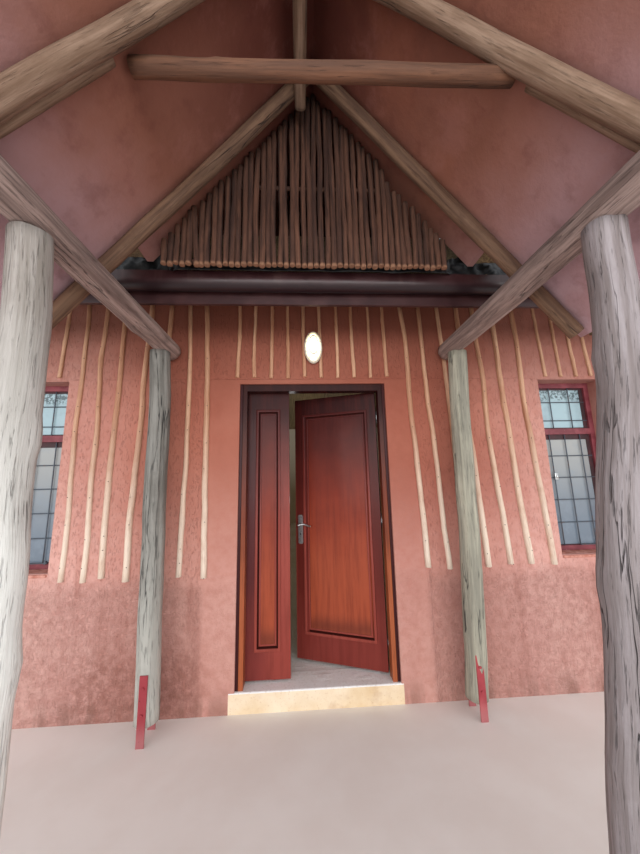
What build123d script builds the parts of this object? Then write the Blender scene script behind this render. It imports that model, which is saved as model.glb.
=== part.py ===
# A thatched rondavel hut with a pole porch over its entrance.
# The hut is six-sided, so that each plastered wall is flat.
# Millimetres. The origin is the middle of the hut on the ground, +Z is up,
# and the entrance faces -Y.
import os
from math import atan, cos, pi, radians, sin, sqrt, tan
from build123d import *

os.makedirs("parts", exist_ok=True)

# Hut plan and walls
side_count = 6
side_width = 5500
wall_thickness = 220
floor_top = 125
fit = 0.3

# Main roof
roof_pitch = 38
thatch_at_face = 3330
thatch_thickness = 250
thatch_reach = 545
hip_diameter = 140
rafter_diameter = 110
roof_pole_flats = 8
rafter_places = (750, 1750)
seat_opening = 45
cap_reach = 620
cap_thickness = 60

# Eaves trim
fascia_back = 500
fascia_thickness = 22
fascia_bottom = 2720
gutter_width = 116
gutter_depth = 104
gutter_sheet = 4
gutter_lip = 14
gutter_corner = 30
gutter_drop = 40

# Windows
window_width = 550
window_from_corner = 575
window_sill = 950
window_head = 2360
window_setback = 120
window_depth = 50
window_member = 42
transom_middle = 1930
transom_height = 50
glass_thickness = 6

# Doorway, frame and step
door_width = 1170
door_head = 2334
step_top = 130
step_left = -625
step_right = 600
jamb_face = 55
frame_front = 22
rebate = 15
stop_depth = 100
leaf_thickness = 44
leaf_gap = 5
meeting_gap = 8
meeting_edge = -200
leaf_bottom = 145
door_open_angle = 22

# Door hinges and lock
pin_radius = 4
barrel_radius = 6
barrel_flats = 8
barrel_gap = 7
pin_fit = 0.05
hinge_height = 100
hinge_leaf = 32
hinge_sheet = 2.5
hinge_levels = (330, 1230, 2080)
plate_width = 42
plate_height = 240
plate_thickness = 4
plate_corner = 9
plate_middle = 1150
backset = 44
lever_level = 1188
lever_length = 118
lever_radius = 9
lever_corner = 5
lever_reach = 52
spindle_radius = 6

# Panels pressed into the door leaves
stile = 92
top_rail = 165
bottom_rail = 205
panel_depth = 13
panel_slope = 10

# Poles planted in the plaster: place along the wall, radius, foot and head
long_pole_foot = 890
head_line = 2380
pole_head = 2960
pole_radius = 17
short_pole_radius = 15
pole_flats = 6

# Porch
porch_peak = 4155
porch_slope = 1.22
porch_half_width = 1500
porch_front = 2000
porch_back = -1250
lining_thickness = 28
porch_thatch = 180
porch_trim = 655
thatch_overhang = 60
notch_front = 870
notch_top = 2925
post_foot = 100
inner_post_radius = 72
inner_post_taper = 4
front_post_radius = 73
front_post_taper = 4
beam_radius = 75
beam_drop = 1570
beam_level = porch_peak - beam_drop
beam_notch = 25
beam_front = 1760
beam_back = 50
rafter_radius = 43
splice_radius = 30
tie_radius = 35
tie_taper = 2
log_flats = 12
shoe_width = 48
shoe_thickness = 8
shoe_height = 390

apothem = side_width / 2 / tan(radians(180 / side_count))
pitch_rise = tan(radians(roof_pitch))
half_turn = 180 / side_count
window_middle = side_width / 2 - window_from_corner


def outward(side):
    """Unit vector out of one wall face; side 0 is the front."""
    return Vector(0, -1, 0).rotate(Axis.Z, 360 / side_count * side)


def along(side):
    """Unit vector along one wall face, to the right seen from outside."""
    return Vector(1, 0, 0).rotate(Axis.Z, 360 / side_count * side)


def face(side, out=0):
    """Upright plane parallel to a wall face: x along it, y up, normal outwards."""
    return Plane(outward(side) * (apothem + out), x_dir=along(side), z_dir=outward(side))


def section(side, middle=0):
    """Upright plane across a wall: x outwards from the hut's middle, y up."""
    origin = along(side) * middle
    return Plane(origin, x_dir=outward(side), z_dir=along(side) * -1)


def thatch_underside(out):
    """Height of the thatch's underside at a distance out from the wall faces."""
    return thatch_at_face - out * pitch_rise


def sector(side, reach, inset=0):
    """Triangle of the plan that belongs to one side, kept off its two hip lines."""
    half = radians(half_turn)
    tip = inset / sin(half)
    half_width = (reach - tip) * tan(half)
    plan = Plane((0, 0, 0), x_dir=along(side), z_dir=(0, 0, 1))
    with BuildSketch(plan) as triangle:
        Polygon((0, -tip), (-half_width, -reach), (half_width, -reach), align=None)
    return triangle.sketch


def keep_sector(side, reach, height, inset=0):
    """Trim the open part to the upright wedge over one side of the plan."""
    extrude(sector(side, reach, inset), amount=height, mode=Mode.INTERSECT)


def pole(start, end, start_radius, end_radius, flats, up, mode=Mode.ADD):
    """A many-sided pole that tapers evenly, with one of its flats turned towards up."""
    run = Vector(end) - Vector(start)
    across = run.cross(up)
    with BuildSketch(Plane(start, x_dir=across, z_dir=run)) as near_end:
        RegularPolygon(start_radius, flats, major_radius=False, rotation=180 / flats)
    if start_radius == end_radius:
        extrude(near_end.sketch, amount=run.length, mode=mode)
    else:
        with BuildSketch(Plane(end, x_dir=across, z_dir=run)) as far_end:
            RegularPolygon(end_radius, flats, major_radius=False, rotation=180 / flats)
        loft([near_end.sketch, far_end.sketch], ruled=True, mode=mode)


def finish(piece, label):
    """Name a finished piece and write it out."""
    piece.part.label = label
    export_step(piece.part, f"parts/{label}.step")


upright = Vector(0, 0, 1)
sides = range(side_count)
others = range(1, side_count)
all_high = 9000
roof_reach = apothem + thatch_reach
inner_apothem = apothem - wall_thickness
hip_turn = radians(half_turn)


# Places of the roof poles
def common_rafter(side, place, reach, radius, mode=Mode.ADD, lift=0):
    """A rafter square to one wall, just under the thatch."""
    drop = (rafter_diameter / 2 + fit) / cos(radians(roof_pitch)) - lift
    base = face(side)
    low = base.from_local_coords((place, thatch_underside(reach) - drop, reach))
    high = base.from_local_coords((place, thatch_underside(-apothem) - drop, -apothem))
    pole(low, high, radius, radius, roof_pole_flats, upright, mode)


def hip_rafter(side, reach, radius, mode=Mode.ADD, lift=0):
    """The heavier rafter under the hip at the right-hand end of one side."""
    hip = outward(side).rotate(Axis.Z, half_turn)
    tilt = atan(pitch_rise * cos(hip_turn))
    normal = outward(side) * sin(radians(roof_pitch)) + Vector(0, 0, cos(radians(roof_pitch)))
    down = Vector(0, 0, -cos(tilt)) - hip * sin(tilt)
    corner = hip_diameter / 2 / cos(pi / roof_pole_flats)
    drop = (corner + fit) / abs(normal.dot(down))
    apex = Vector(0, 0, thatch_underside(-apothem) + lift) + down * drop
    run = hip * cos(tilt) - Vector(0, 0, sin(tilt))
    length = (apothem + reach) / cos(hip_turn) / cos(tilt)
    pole(apex, apex + run * length, radius, radius, roof_pole_flats, upright, mode)


def roof_seats(side):
    """Cut the beds of the roof poles out of the top of a wall."""
    for lift in (0, seat_opening):
        for place in rafter_places:
            for hand in (-1, 1):
                bed = rafter_diameter / 2 + fit
                common_rafter(side, hand * place, fascia_back, bed, Mode.SUBTRACT, lift)
        for turn in (-1, 0):
            bed = hip_diameter / 2 + fit
            hip_rafter(side + turn, fascia_back, bed, Mode.SUBTRACT, lift)


def under_thatch(side, low, high, height_at_face):
    """Cut away everything above a plane that lies at the roof's pitch."""
    with BuildSketch(section(side)) as above:
        Polygon(
            (apothem + high, height_at_face - high * pitch_rise),
            (apothem + low, height_at_face - low * pitch_rise),
            (apothem + low, all_high),
            (apothem + high, all_high),
            align=None,
        )
    extrude(above.sketch, amount=side_width, both=True, mode=Mode.SUBTRACT)


# Walls: plastered masonry, one piece a side, mitred at the corners
wall_top = thatch_underside(-wall_thickness) + 20
window_height = window_head - window_sill


def wall(side, start, end, bottom=0):
    """One stretch of wall between two places along its side, with its windows."""
    with BuildSketch(face(side)) as elevation:
        with Locations(((start + end) / 2, bottom)):
            Rectangle(end - start, wall_top - bottom, align=(Align.CENTER, Align.MIN))
        for hand in (-1, 1):
            if start < hand * window_middle < end:
                with Locations((hand * window_middle, window_sill)):
                    Rectangle(
                        window_width, window_height,
                        align=(Align.CENTER, Align.MIN), mode=Mode.SUBTRACT,
                    )
    extrude(elevation.sketch, amount=-wall_thickness)
    keep_sector(side, apothem + 10, all_high)
    under_thatch(side, -wall_thickness - 50, 50, thatch_at_face)
    roof_seats(side)


with BuildPart() as front_wall_left:
    wall(0, -side_width / 2, -door_width / 2)
    with BuildSketch(face(0)):
        with Locations((step_left, 0)):
            Rectangle(-door_width / 2 - step_left, step_top, align=Align.MIN)
    extrude(amount=-wall_thickness, mode=Mode.SUBTRACT)
finish(front_wall_left, "front_wall_left")

with BuildPart() as front_wall_right:
    wall(0, door_width / 2, side_width / 2)
    with BuildSketch(face(0)):
        with Locations((door_width / 2, 0)):
            Rectangle(step_right - door_width / 2, step_top, align=Align.MIN)
    extrude(amount=-wall_thickness, mode=Mode.SUBTRACT)
finish(front_wall_right, "front_wall_right")

with BuildPart() as wall_over_door:
    wall(0, -door_width / 2, door_width / 2, door_head)
finish(wall_over_door, "wall_over_door")

wall_names = {
    1: "right_front_wall",
    2: "right_back_wall",
    3: "back_wall",
    4: "left_back_wall",
    5: "left_front_wall",
}
for side in others:
    with BuildPart() as side_wall:
        wall(side, -side_width / 2, side_width / 2)
    finish(side_wall, wall_names[side])

# Floor inside the walls, and the cast step that runs through the doorway
with BuildPart() as floor_slab:
    with BuildSketch():
        RegularPolygon(inner_apothem, side_count, major_radius=False)
    extrude(amount=floor_top)
finish(floor_slab, "floor_slab")

with BuildPart() as door_step:
    with BuildSketch(face(0)):
        with Locations((step_left, 0)):
            Rectangle(step_right - step_left, step_top, align=Align.MIN)
    extrude(amount=-wall_thickness)
    front_edges = door_step.edges().group_by(Axis.Y)[0]
    fillet(front_edges.sort_by(Axis.Z)[-1], radius=12)
finish(door_step, "door_step")

# Roof poles: a hip rafter to each corner and straight rafters between them
hub_apothem = hip_diameter * 1.1
with BuildPart() as hip_rafters:
    for side in sides:
        hip_rafter(side, fascia_back, hip_diameter / 2)
    with BuildSketch():
        RegularPolygon(apothem + fascia_back, side_count, major_radius=False)
    extrude(amount=all_high, mode=Mode.INTERSECT)
    with BuildSketch():
        RegularPolygon(hub_apothem + fit, side_count, major_radius=False, rotation=half_turn)
    extrude(amount=all_high, mode=Mode.SUBTRACT)
finish(hip_rafters, "hip_rafters")

rafter_sets = []
for side in sides:
    with BuildPart() as one_side:
        for place in rafter_places:
            for hand in (-1, 1):
                common_rafter(side, hand * place, fascia_back, rafter_diameter / 2)
        keep_sector(side, apothem + fascia_back, all_high, hip_diameter / 2 + fit)
    rafter_sets.append(one_side.part)

with BuildPart() as straight_rafters:
    add(rafter_sets)
finish(straight_rafters, "straight_rafters")

# The block that the six hip rafters butt against at the peak
hub_top = thatch_underside(hub_apothem / cos(hip_turn) - apothem) - fit
hub_length = 330
with BuildPart() as rafter_hub:
    with BuildSketch(Plane.XY.offset(hub_top)):
        RegularPolygon(hub_apothem, side_count, major_radius=False, rotation=half_turn)
    extrude(amount=-hub_length)
    chamfer(rafter_hub.faces().sort_by(Axis.Z)[0].edges(), length=20)
finish(rafter_hub, "rafter_hub")

# Thatch: one thick panel over each wall, meeting its neighbours on the hips
thatch_rise = thatch_thickness / cos(radians(roof_pitch))
lip_cut = 12
thatch_names = (
    "thatch_front",
    "thatch_right_front",
    "thatch_right_back",
    "thatch_back",
    "thatch_left_back",
    "thatch_left_front",
)
for side in sides:
    with BuildPart() as thatch_panel:
        with BuildSketch(section(side)):
            Polygon(
                (roof_reach, thatch_underside(thatch_reach)),
                (roof_reach + lip_cut, thatch_underside(thatch_reach + lip_cut) + thatch_rise),
                (0, thatch_underside(-apothem) + thatch_rise),
                (0, thatch_underside(-apothem)),
                align=None,
            )
        extrude(amount=side_width, both=True)
        keep_sector(side, roof_reach + lip_cut, all_high)
    finish(thatch_panel, thatch_names[side])

# Cap over the meeting of the panels
cap_peak = thatch_underside(-apothem) + thatch_rise + fit
cap_foot = cap_peak - cap_reach * pitch_rise
cap_tip = 60
cap_level = cap_peak - cap_tip * pitch_rise + cap_thickness
cap_wedges = []
for side in sides:
    with BuildPart() as cap_wedge:
        with BuildSketch(section(side)):
            Polygon(
                (cap_reach, cap_foot),
                (cap_reach, cap_foot + cap_thickness),
                (cap_tip, cap_level),
                (0, cap_level),
                (0, cap_peak),
                align=None,
            )
        extrude(amount=side_width, both=True)
        keep_sector(side, cap_reach + 1, all_high)
    cap_wedges.append(cap_wedge.part)
with BuildPart() as roof_cap:
    add(cap_wedges)
finish(roof_cap, "roof_cap")

# Fascia boards across the rafter ends
gutter_back = fascia_back + fascia_thickness
fascia_height = thatch_underside(gutter_back) - fit - fascia_bottom
fascia_sets = []
for side in sides:
    with BuildPart() as board:
        with BuildSketch(section(side)):
            with Locations((apothem + fascia_back, fascia_bottom)):
                Rectangle(fascia_thickness, fascia_height, align=Align.MIN)
        extrude(amount=side_width, both=True)
        keep_sector(side, apothem + gutter_back + 1, all_high, fit / 2)
    fascia_sets.append(board.part)
with BuildPart() as fascia:
    add(fascia_sets)
finish(fascia, "fascia")

# Gutter in front of the fascia: a floor with sloped corners, a back and a lipped front
gutter_top = fascia_bottom + fascia_height - gutter_drop
gutter_bottom = gutter_top - gutter_depth
gutter_in = apothem + gutter_back
gutter_out = gutter_in + gutter_width
inner_corner = gutter_corner - gutter_sheet * tan(radians(22.5))
tray_height = gutter_sheet + inner_corner


def gutter_strip(side, low_corner, width, height):
    """What one box of the profile holds of the gutter along one side."""
    with BuildSketch(section(side)) as channel:
        with Locations((gutter_in, gutter_bottom)):
            Rectangle(gutter_width, gutter_depth, align=Align.MIN)
        chamfer(channel.vertices().group_by(Axis.Y)[0], length=gutter_corner)
        Polygon(
            (gutter_in + gutter_sheet, gutter_top),
            (gutter_in + gutter_sheet, gutter_bottom + tray_height),
            (gutter_in + gutter_sheet + inner_corner, gutter_bottom + gutter_sheet),
            (gutter_out - gutter_sheet - inner_corner, gutter_bottom + gutter_sheet),
            (gutter_out - gutter_sheet, gutter_bottom + tray_height),
            (gutter_out - gutter_sheet, gutter_top - gutter_sheet),
            (gutter_out - gutter_lip, gutter_top - gutter_sheet),
            (gutter_out - gutter_lip, gutter_top),
            align=None, mode=Mode.SUBTRACT,
        )
        with Locations(low_corner):
            Rectangle(width, height, align=Align.MIN, mode=Mode.INTERSECT)
    with BuildPart() as strip:
        extrude(channel.sketch, amount=side_width, both=True)
        keep_sector(side, gutter_out + 1, all_high, fit / 2)
    return strip.part


gutter_middle = gutter_in + gutter_width / 2
side_bottom = gutter_bottom + tray_height
side_height = gutter_depth - tray_height
for label, low_corner, width, height in (
    ("gutter_floor", (gutter_in, gutter_bottom), gutter_width, tray_height),
    ("gutter_back", (gutter_in, side_bottom), gutter_width / 2, side_height),
    ("gutter_front", (gutter_middle, side_bottom), gutter_width / 2, side_height),
):
    with BuildPart() as gutter:
        add([gutter_strip(side, low_corner, width, height) for side in sides])
    finish(gutter, label)


# Windows: a timber frame with a top light over a casement, glazed
def window_frame(side, middle):
    """One window frame set back in its opening."""
    front = face(side, -window_setback)
    with BuildSketch(front) as member:
        with Locations((middle, window_sill)):
            Rectangle(window_width, window_height, align=(Align.CENTER, Align.MIN))
        for low, high in window_lights:
            with Locations((middle, low)):
                Rectangle(
                    window_width - 2 * window_member, high - low,
                    align=(Align.CENTER, Align.MIN), mode=Mode.SUBTRACT,
                )
    extrude(member.sketch, amount=-window_depth)


def window_glass(side, middle):
    """The two panes of one window, held in the middle of its frame."""
    with BuildSketch(face(side, -window_setback - window_depth / 2)) as pane:
        for low, high in window_lights:
            with Locations((middle, low)):
                Rectangle(
                    window_width - 2 * window_member, high - low,
                    align=(Align.CENTER, Align.MIN),
                )
    extrude(pane.sketch, amount=-glass_thickness)


window_lights = (
    (window_sill + window_member, transom_middle - transom_height / 2),
    (transom_middle + transom_height / 2, window_head - window_member),
)
for label, chosen in (("front", (0,)), ("side", others)):
    with BuildPart() as frames:
        for side in chosen:
            for hand in (-1, 1):
                window_frame(side, hand * window_middle)
    finish(frames, f"{label}_window_frames")
    with BuildPart() as panes:
        for side in chosen:
            for hand in (-1, 1):
                window_glass(side, hand * window_middle)
    finish(panes, f"{label}_window_glass")

# Door frame: two rebated jambs and a head, just behind the wall's face
frame_back = stop_depth + leaf_gap + leaf_thickness
rebate_edge = door_width / 2 - jamb_face + rebate
with BuildPart() as door_frame:
    with BuildSketch(face(0, -frame_front)):
        with Locations((0, step_top)):
            Rectangle(door_width, door_head - step_top, align=(Align.CENTER, Align.MIN))
            Rectangle(
                door_width - 2 * jamb_face, door_head - step_top - jamb_face,
                align=(Align.CENTER, Align.MIN), mode=Mode.SUBTRACT,
            )
    extrude(amount=frame_front - frame_back)
    with BuildSketch(face(0, -frame_back)):
        with Locations((0, step_top)):
            Rectangle(
                2 * rebate_edge, door_head - step_top - jamb_face + rebate,
                align=(Align.CENTER, Align.MIN),
            )
    extrude(amount=frame_back - stop_depth, mode=Mode.SUBTRACT)
finish(door_frame, "door_frame")

# Door leaves, each drawn upright on the line through its own hinge pins
pin_x = rebate_edge - leaf_gap / 2
pin_y = -apothem + frame_back + barrel_gap
leaf_top = door_head - jamb_face + rebate - leaf_gap
swing = radians(door_open_angle)
main_width = rebate_edge - leaf_gap - meeting_edge - meeting_gap
side_leaf_width = meeting_edge + rebate_edge - leaf_gap
main_plane = Plane(
    (pin_x, pin_y, 0), x_dir=(-cos(swing), sin(swing), 0), z_dir=(sin(swing), cos(swing), 0)
)
side_plane = Plane((-pin_x, pin_y, 0), x_dir=(1, 0, 0), z_dir=(0, -1, 0))
hinge_edge = leaf_gap / 2


def door_panel(plane, inward, width):
    """A leaf with one long panel sunk in each face, its edges sloped."""
    inner_face = plane.offset(-inward * barrel_gap)
    outer_face = plane.offset(-inward * (barrel_gap + leaf_thickness))
    middle = hinge_edge + width / 2
    height = leaf_top - leaf_bottom
    panel_height = height - top_rail - bottom_rail
    with BuildSketch(inner_face) as outline:
        with Locations((middle, leaf_bottom)):
            Rectangle(width, height, align=(Align.CENTER, Align.MIN))
    extrude(outline.sketch, amount=-inward * leaf_thickness)
    for surface, depth in ((inner_face, -inward), (outer_face, inward)):
        with BuildSketch(surface) as mouth:
            with Locations((middle, leaf_bottom + bottom_rail + panel_height / 2)):
                Rectangle(width - 2 * stile, panel_height)
        with BuildSketch(surface.offset(depth * panel_depth)) as bed:
            with Locations((middle, leaf_bottom + bottom_rail + panel_height / 2)):
                Rectangle(width - 2 * stile - 2 * panel_slope, panel_height - 2 * panel_slope)
        loft([mouth.sketch, bed.sketch], ruled=True, mode=Mode.SUBTRACT)


lever_plane = main_plane.offset(-barrel_gap - leaf_thickness - plate_thickness)
lever_x = hinge_edge + main_width - backset
lock_depth = leaf_thickness + 2 * plate_thickness

with BuildPart() as door_leaf:
    door_panel(main_plane, 1, main_width)
    with BuildSketch(lever_plane) as bore:
        with Locations((lever_x, lever_level)):
            Circle(spindle_radius + pin_fit)
    extrude(bore.sketch, amount=lock_depth, mode=Mode.SUBTRACT)
finish(door_leaf, "door_leaf")

with BuildPart() as side_leaf:
    door_panel(side_plane, -1, side_leaf_width)
finish(side_leaf, "side_leaf")


# Hinges: a fixed half with the pin, and a leaf half that turns on it
def fixed_hinge(plane, level):
    """Jamb plate with the lower and upper knuckle and the pin."""
    knuckle = hinge_height / 3
    pin_line = Plane.XY.offset(level - hinge_height / 2)
    with BuildSketch(pin_line) as barrel:
        with Locations((plane.origin.X, plane.origin.Y)):
            RegularPolygon(barrel_radius, barrel_flats, rotation=180 / barrel_flats)
    with BuildSketch(pin_line) as pin:
        with Locations((plane.origin.X, plane.origin.Y)):
            Circle(pin_radius)
    hand = 1 if plane.origin.X > 0 else -1
    with BuildSketch(Plane.XY.offset(level - hinge_height / 2)) as plate:
        with Locations((plane.origin.X + hand * hinge_leaf / 2, pin_y - barrel_gap)):
            Rectangle(hinge_leaf - leaf_gap, hinge_sheet, align=(Align.CENTER, Align.MIN))
        with Locations((plane.origin.X + hand * leaf_gap, pin_y - barrel_gap)):
            Rectangle(leaf_gap, barrel_gap, align=(Align.CENTER, Align.MIN))
    extrude(barrel.sketch, amount=hinge_height)
    extrude(plate.sketch, amount=hinge_height)
    with BuildSketch(Plane.XY.offset(level - knuckle / 2 - fit)) as space:
        with Locations((plane.origin.X, plane.origin.Y)):
            Rectangle(2 * leaf_gap + 2 * barrel_radius, 4 * barrel_radius)
    extrude(space.sketch, amount=knuckle + 2 * fit, mode=Mode.SUBTRACT)
    extrude(pin.sketch, amount=hinge_height)


def turning_hinge(plane, inward, level):
    """Leaf plate with the middle knuckle, bored to run on the pin."""
    knuckle = hinge_height / 3
    floor = Plane(
        (plane.origin.X, plane.origin.Y, level - knuckle / 2),
        x_dir=plane.x_dir,
        z_dir=(0, 0, 1),
    )
    away = -1 if floor.y_dir.dot(plane.z_dir) * inward > 0 else 1
    edge = Align.MIN if away < 0 else Align.MAX
    with BuildSketch(floor) as knuckle_ring:
        RegularPolygon(barrel_radius, barrel_flats, rotation=180 / barrel_flats)
        with Locations((hinge_edge + hinge_leaf / 2, away * barrel_gap)):
            Rectangle(hinge_leaf, hinge_sheet, align=(Align.CENTER, edge))
        with Locations((hinge_edge, away * barrel_gap)):
            Rectangle(2 * leaf_gap, barrel_gap, align=(Align.CENTER, edge))
        Circle(pin_radius + pin_fit, mode=Mode.SUBTRACT)
    extrude(knuckle_ring.sketch, amount=knuckle)


with BuildPart() as frame_hinges:
    for level in hinge_levels:
        fixed_hinge(main_plane, level)
        fixed_hinge(side_plane, level)
finish(frame_hinges, "frame_hinges")

with BuildPart() as door_leaf_hinges:
    for level in hinge_levels:
        turning_hinge(main_plane, 1, level)
finish(door_leaf_hinges, "door_leaf_hinges")

with BuildPart() as side_leaf_hinges:
    for level in hinge_levels:
        turning_hinge(side_plane, -1, level)
finish(side_leaf_hinges, "side_leaf_hinges")

# Lock plates on both faces, and the lever that turns in them
with BuildPart() as lock_plates:
    for depth in (0, leaf_thickness + plate_thickness):
        with BuildSketch(lever_plane.offset(depth)):
            with Locations((lever_x, plate_middle)):
                plate = Rectangle(plate_width, plate_height)
            chamfer(plate.vertices(), length=plate_corner)
            with Locations((lever_x, lever_level)):
                Circle(spindle_radius + pin_fit, mode=Mode.SUBTRACT)
        extrude(amount=plate_thickness)
finish(lock_plates, "lock_plates")

with BuildPart() as lever_handle:
    spindle_start = lever_plane.offset(-lever_reach)
    with BuildSketch(spindle_start):
        with Locations((lever_x, lever_level)):
            Circle(spindle_radius)
    extrude(amount=lock_depth + 2 * lever_reach)
    for depth in (-lever_reach, lock_depth + lever_reach - 2 * lever_radius):
        with BuildSketch(lever_plane.offset(depth)) as grip:
            with Locations((lever_x - lever_length / 2 + lever_radius, lever_level)):
                Rectangle(lever_length, 2 * lever_radius)
            chamfer(grip.vertices(), length=lever_corner)
        extrude(grip.sketch, amount=2 * lever_radius)
    for depth in (-lever_reach + 2 * lever_radius, lock_depth + 1):
        with BuildSketch(lever_plane.offset(depth)) as neck:
            with Locations((lever_x, lever_level)):
                RegularPolygon(lever_radius, barrel_flats)
        extrude(neck.sketch, amount=lever_reach - 2 * lever_radius - 1)
finish(lever_handle, "lever_handle")


# Poles planted half their thickness in the plaster, as trim
def planted_poles(side, places, foot, radius):
    """A row of half-round poles standing flat against one wall."""
    ground = face(side).from_local_coords((0, foot, fit))
    with BuildSketch(Plane(ground, x_dir=along(side), z_dir=(0, 0, 1))) as feet:
        for place in places:
            with Locations((place, 0)):
                RegularPolygon(radius, pole_flats, major_radius=False)
        with Locations((0, 0)):
            Rectangle(side_width, radius, align=(Align.CENTER, Align.MIN), mode=Mode.SUBTRACT)
    extrude(feet.sketch, amount=pole_head - foot)


def evenly(count, gap, middle=0):
    """Places of a row of poles, a set distance apart."""
    return [middle + (turn - (count - 1) / 2) * gap for turn in range(count)]


# Shares of the stretch of wall between the doorway and a window
left_pole_shares = (0.180, 0.314, 0.452, 0.594, 0.719, 0.814, 0.932)
right_pole_shares = (0.194, 0.323, 0.437, 0.548, 0.684, 0.805, 0.948)
window_side = window_middle - window_width / 2
front_long_poles = [
    hand * (door_width / 2 + share * (window_side - door_width / 2))
    for hand, shares in ((-1, left_pole_shares), (1, right_pole_shares))
    for share in shares
]
short_pole_gap = 135
over_door_count = 10
over_window_count = 4
side_pole_count = 22
side_pole_margin = 84
side_pole_gap = 2 * (window_side - side_pole_margin) / (side_pole_count - 1)
over_windows = [
    place
    for hand in (-1, 1)
    for place in evenly(over_window_count, short_pole_gap, hand * window_middle)
]

with BuildPart() as front_wall_poles:
    planted_poles(0, front_long_poles, long_pole_foot, pole_radius)
    planted_poles(0, evenly(over_door_count, short_pole_gap), head_line, short_pole_radius)
    planted_poles(0, over_windows, head_line, short_pole_radius)
finish(front_wall_poles, "front_wall_poles")

side_sets = []
for side in others:
    with BuildPart() as one_side:
        planted_poles(side, evenly(side_pole_count, side_pole_gap), long_pole_foot, pole_radius)
        planted_poles(side, over_windows, head_line, short_pole_radius)
    side_sets.append(one_side.part)
with BuildPart() as side_wall_poles:
    add(side_sets)
finish(side_wall_poles, "side_wall_poles")


# Porch roof: boarded lining with thatch on it, on a pair of slopes.
# Distances in front of the front wall's face are counted towards -Y.
def porch(x, front, z):
    """A point of the porch, by its distance in front of the wall."""
    return (x, -apothem - front, z)


slope_stretch = sqrt(1 + porch_slope**2)
lining_rise = lining_thickness * slope_stretch
porch_thatch_rise = porch_thatch * slope_stretch
main_top_at_face = thatch_at_face + thatch_rise


def porch_slab(hand, low, rise, trim, drop=0):
    """One slope of the porch roof, as far back as the main thatch lets it."""
    edge = porch_half_width + trim
    with BuildSketch(Plane.XZ.offset(apothem + porch_front + trim)) as gable:
        Polygon(
            (0, low),
            (hand * edge, low - edge * porch_slope),
            (hand * edge, low - edge * porch_slope + rise),
            (0, low + rise),
            align=None,
        )
    extrude(gable.sketch, amount=porch_back - porch_front - trim)
    with BuildSketch(section(0)) as main_roof:
        Polygon(
            (apothem + notch_front, 0),
            (apothem + notch_front, notch_top),
            (apothem + porch_trim, notch_top),
            (apothem + porch_trim, main_top_at_face - porch_trim * pitch_rise),
            (apothem + porch_back - 100, main_top_at_face - (porch_back - 100) * pitch_rise),
            (apothem + porch_back - 100, 0),
            align=None,
        )
    extrude(main_roof.sketch, amount=side_width, both=True, mode=Mode.SUBTRACT)


for label, hand in (("left", -1), ("right", 1)):
    with BuildPart() as porch_lining:
        porch_slab(hand, porch_peak, lining_rise, 0)
    finish(porch_lining, f"porch_lining_{label}")
    with BuildPart() as porch_cover:
        porch_slab(hand, porch_peak + lining_rise, porch_thatch_rise, thatch_overhang)
    finish(porch_cover, f"porch_thatch_{label}")

# Porch poles: place across, distance in front of the wall, height, radius
rafter_drop = (rafter_radius + fit) * slope_stretch
rafter_line = porch_peak - rafter_drop
beam_sides = {"left": -1115, "right": 1110}
inner_feet = {"left": (-1090, 160), "right": (1055, 135)}
inner_heads = {"left": (-1135, 200), "right": (1120, 200)}
front_feet = {"left": (-1020, 1370), "right": (808, 1450)}
rafter_tails = {"left": -1405, "right": 1440}
back_rafter_front = 910
front_rafter_apex = {"left": 1460, "right": 1350}
front_rafter_foot = {"left": 1650, "right": 1745}
post_head = beam_level - beam_radius + beam_notch
splice_tops = {"left": -800, "right": 830}
splice_behind = 50
tie_ends = {
    "left": (-756, 1448, porch_peak - 959),
    "right": (780, 1505, porch_peak - 1000),
}
forward = Vector(0, -1, 0)


def beam(label, extra=0, mode=Mode.ADD):
    """Side beam that runs from over the inner post to past the front post."""
    x = beam_sides[label]
    pole(
        porch(x, beam_back, beam_level),
        porch(x, beam_front, beam_level),
        beam_radius + extra, beam_radius + extra, log_flats, upright, mode,
    )


def lining_normal(label):
    """Square to one slope of the lining, upwards."""
    hand = 1 if rafter_tails[label] > 0 else -1
    return Vector(hand * porch_slope, 0, 1)


def slope_rafter(label, apex_front, foot_front, extra=0, mode=Mode.ADD):
    """A rafter lying against the lining from the peak to past the beam."""
    tail = rafter_tails[label]
    pole(
        porch(0, apex_front, rafter_line),
        porch(tail, foot_front, rafter_line - abs(tail) * porch_slope),
        rafter_radius + extra, rafter_radius + extra, log_flats, lining_normal(label), mode,
    )


def shoe_flats(foot, radius, extra=0, mode=Mode.ADD):
    """The two upright flats that hold one post, in front of it and behind."""
    for hand in (-1, 1):
        front = foot[1] + hand * (radius + shoe_thickness / 2)
        with BuildSketch(Plane(porch(foot[0], front, 0))) as flat:
            Rectangle(shoe_width + 2 * extra, shoe_thickness + 2 * extra)
        extrude(flat.sketch, amount=shoe_height + extra, mode=mode)


def own_half(hand):
    """Keep the half of the porch on one side of its middle line."""
    half = Plane.YZ.offset(hand * fit / 2)
    split(bisect_by=half, keep=Keep.TOP if hand > 0 else Keep.BOTTOM)


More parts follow.
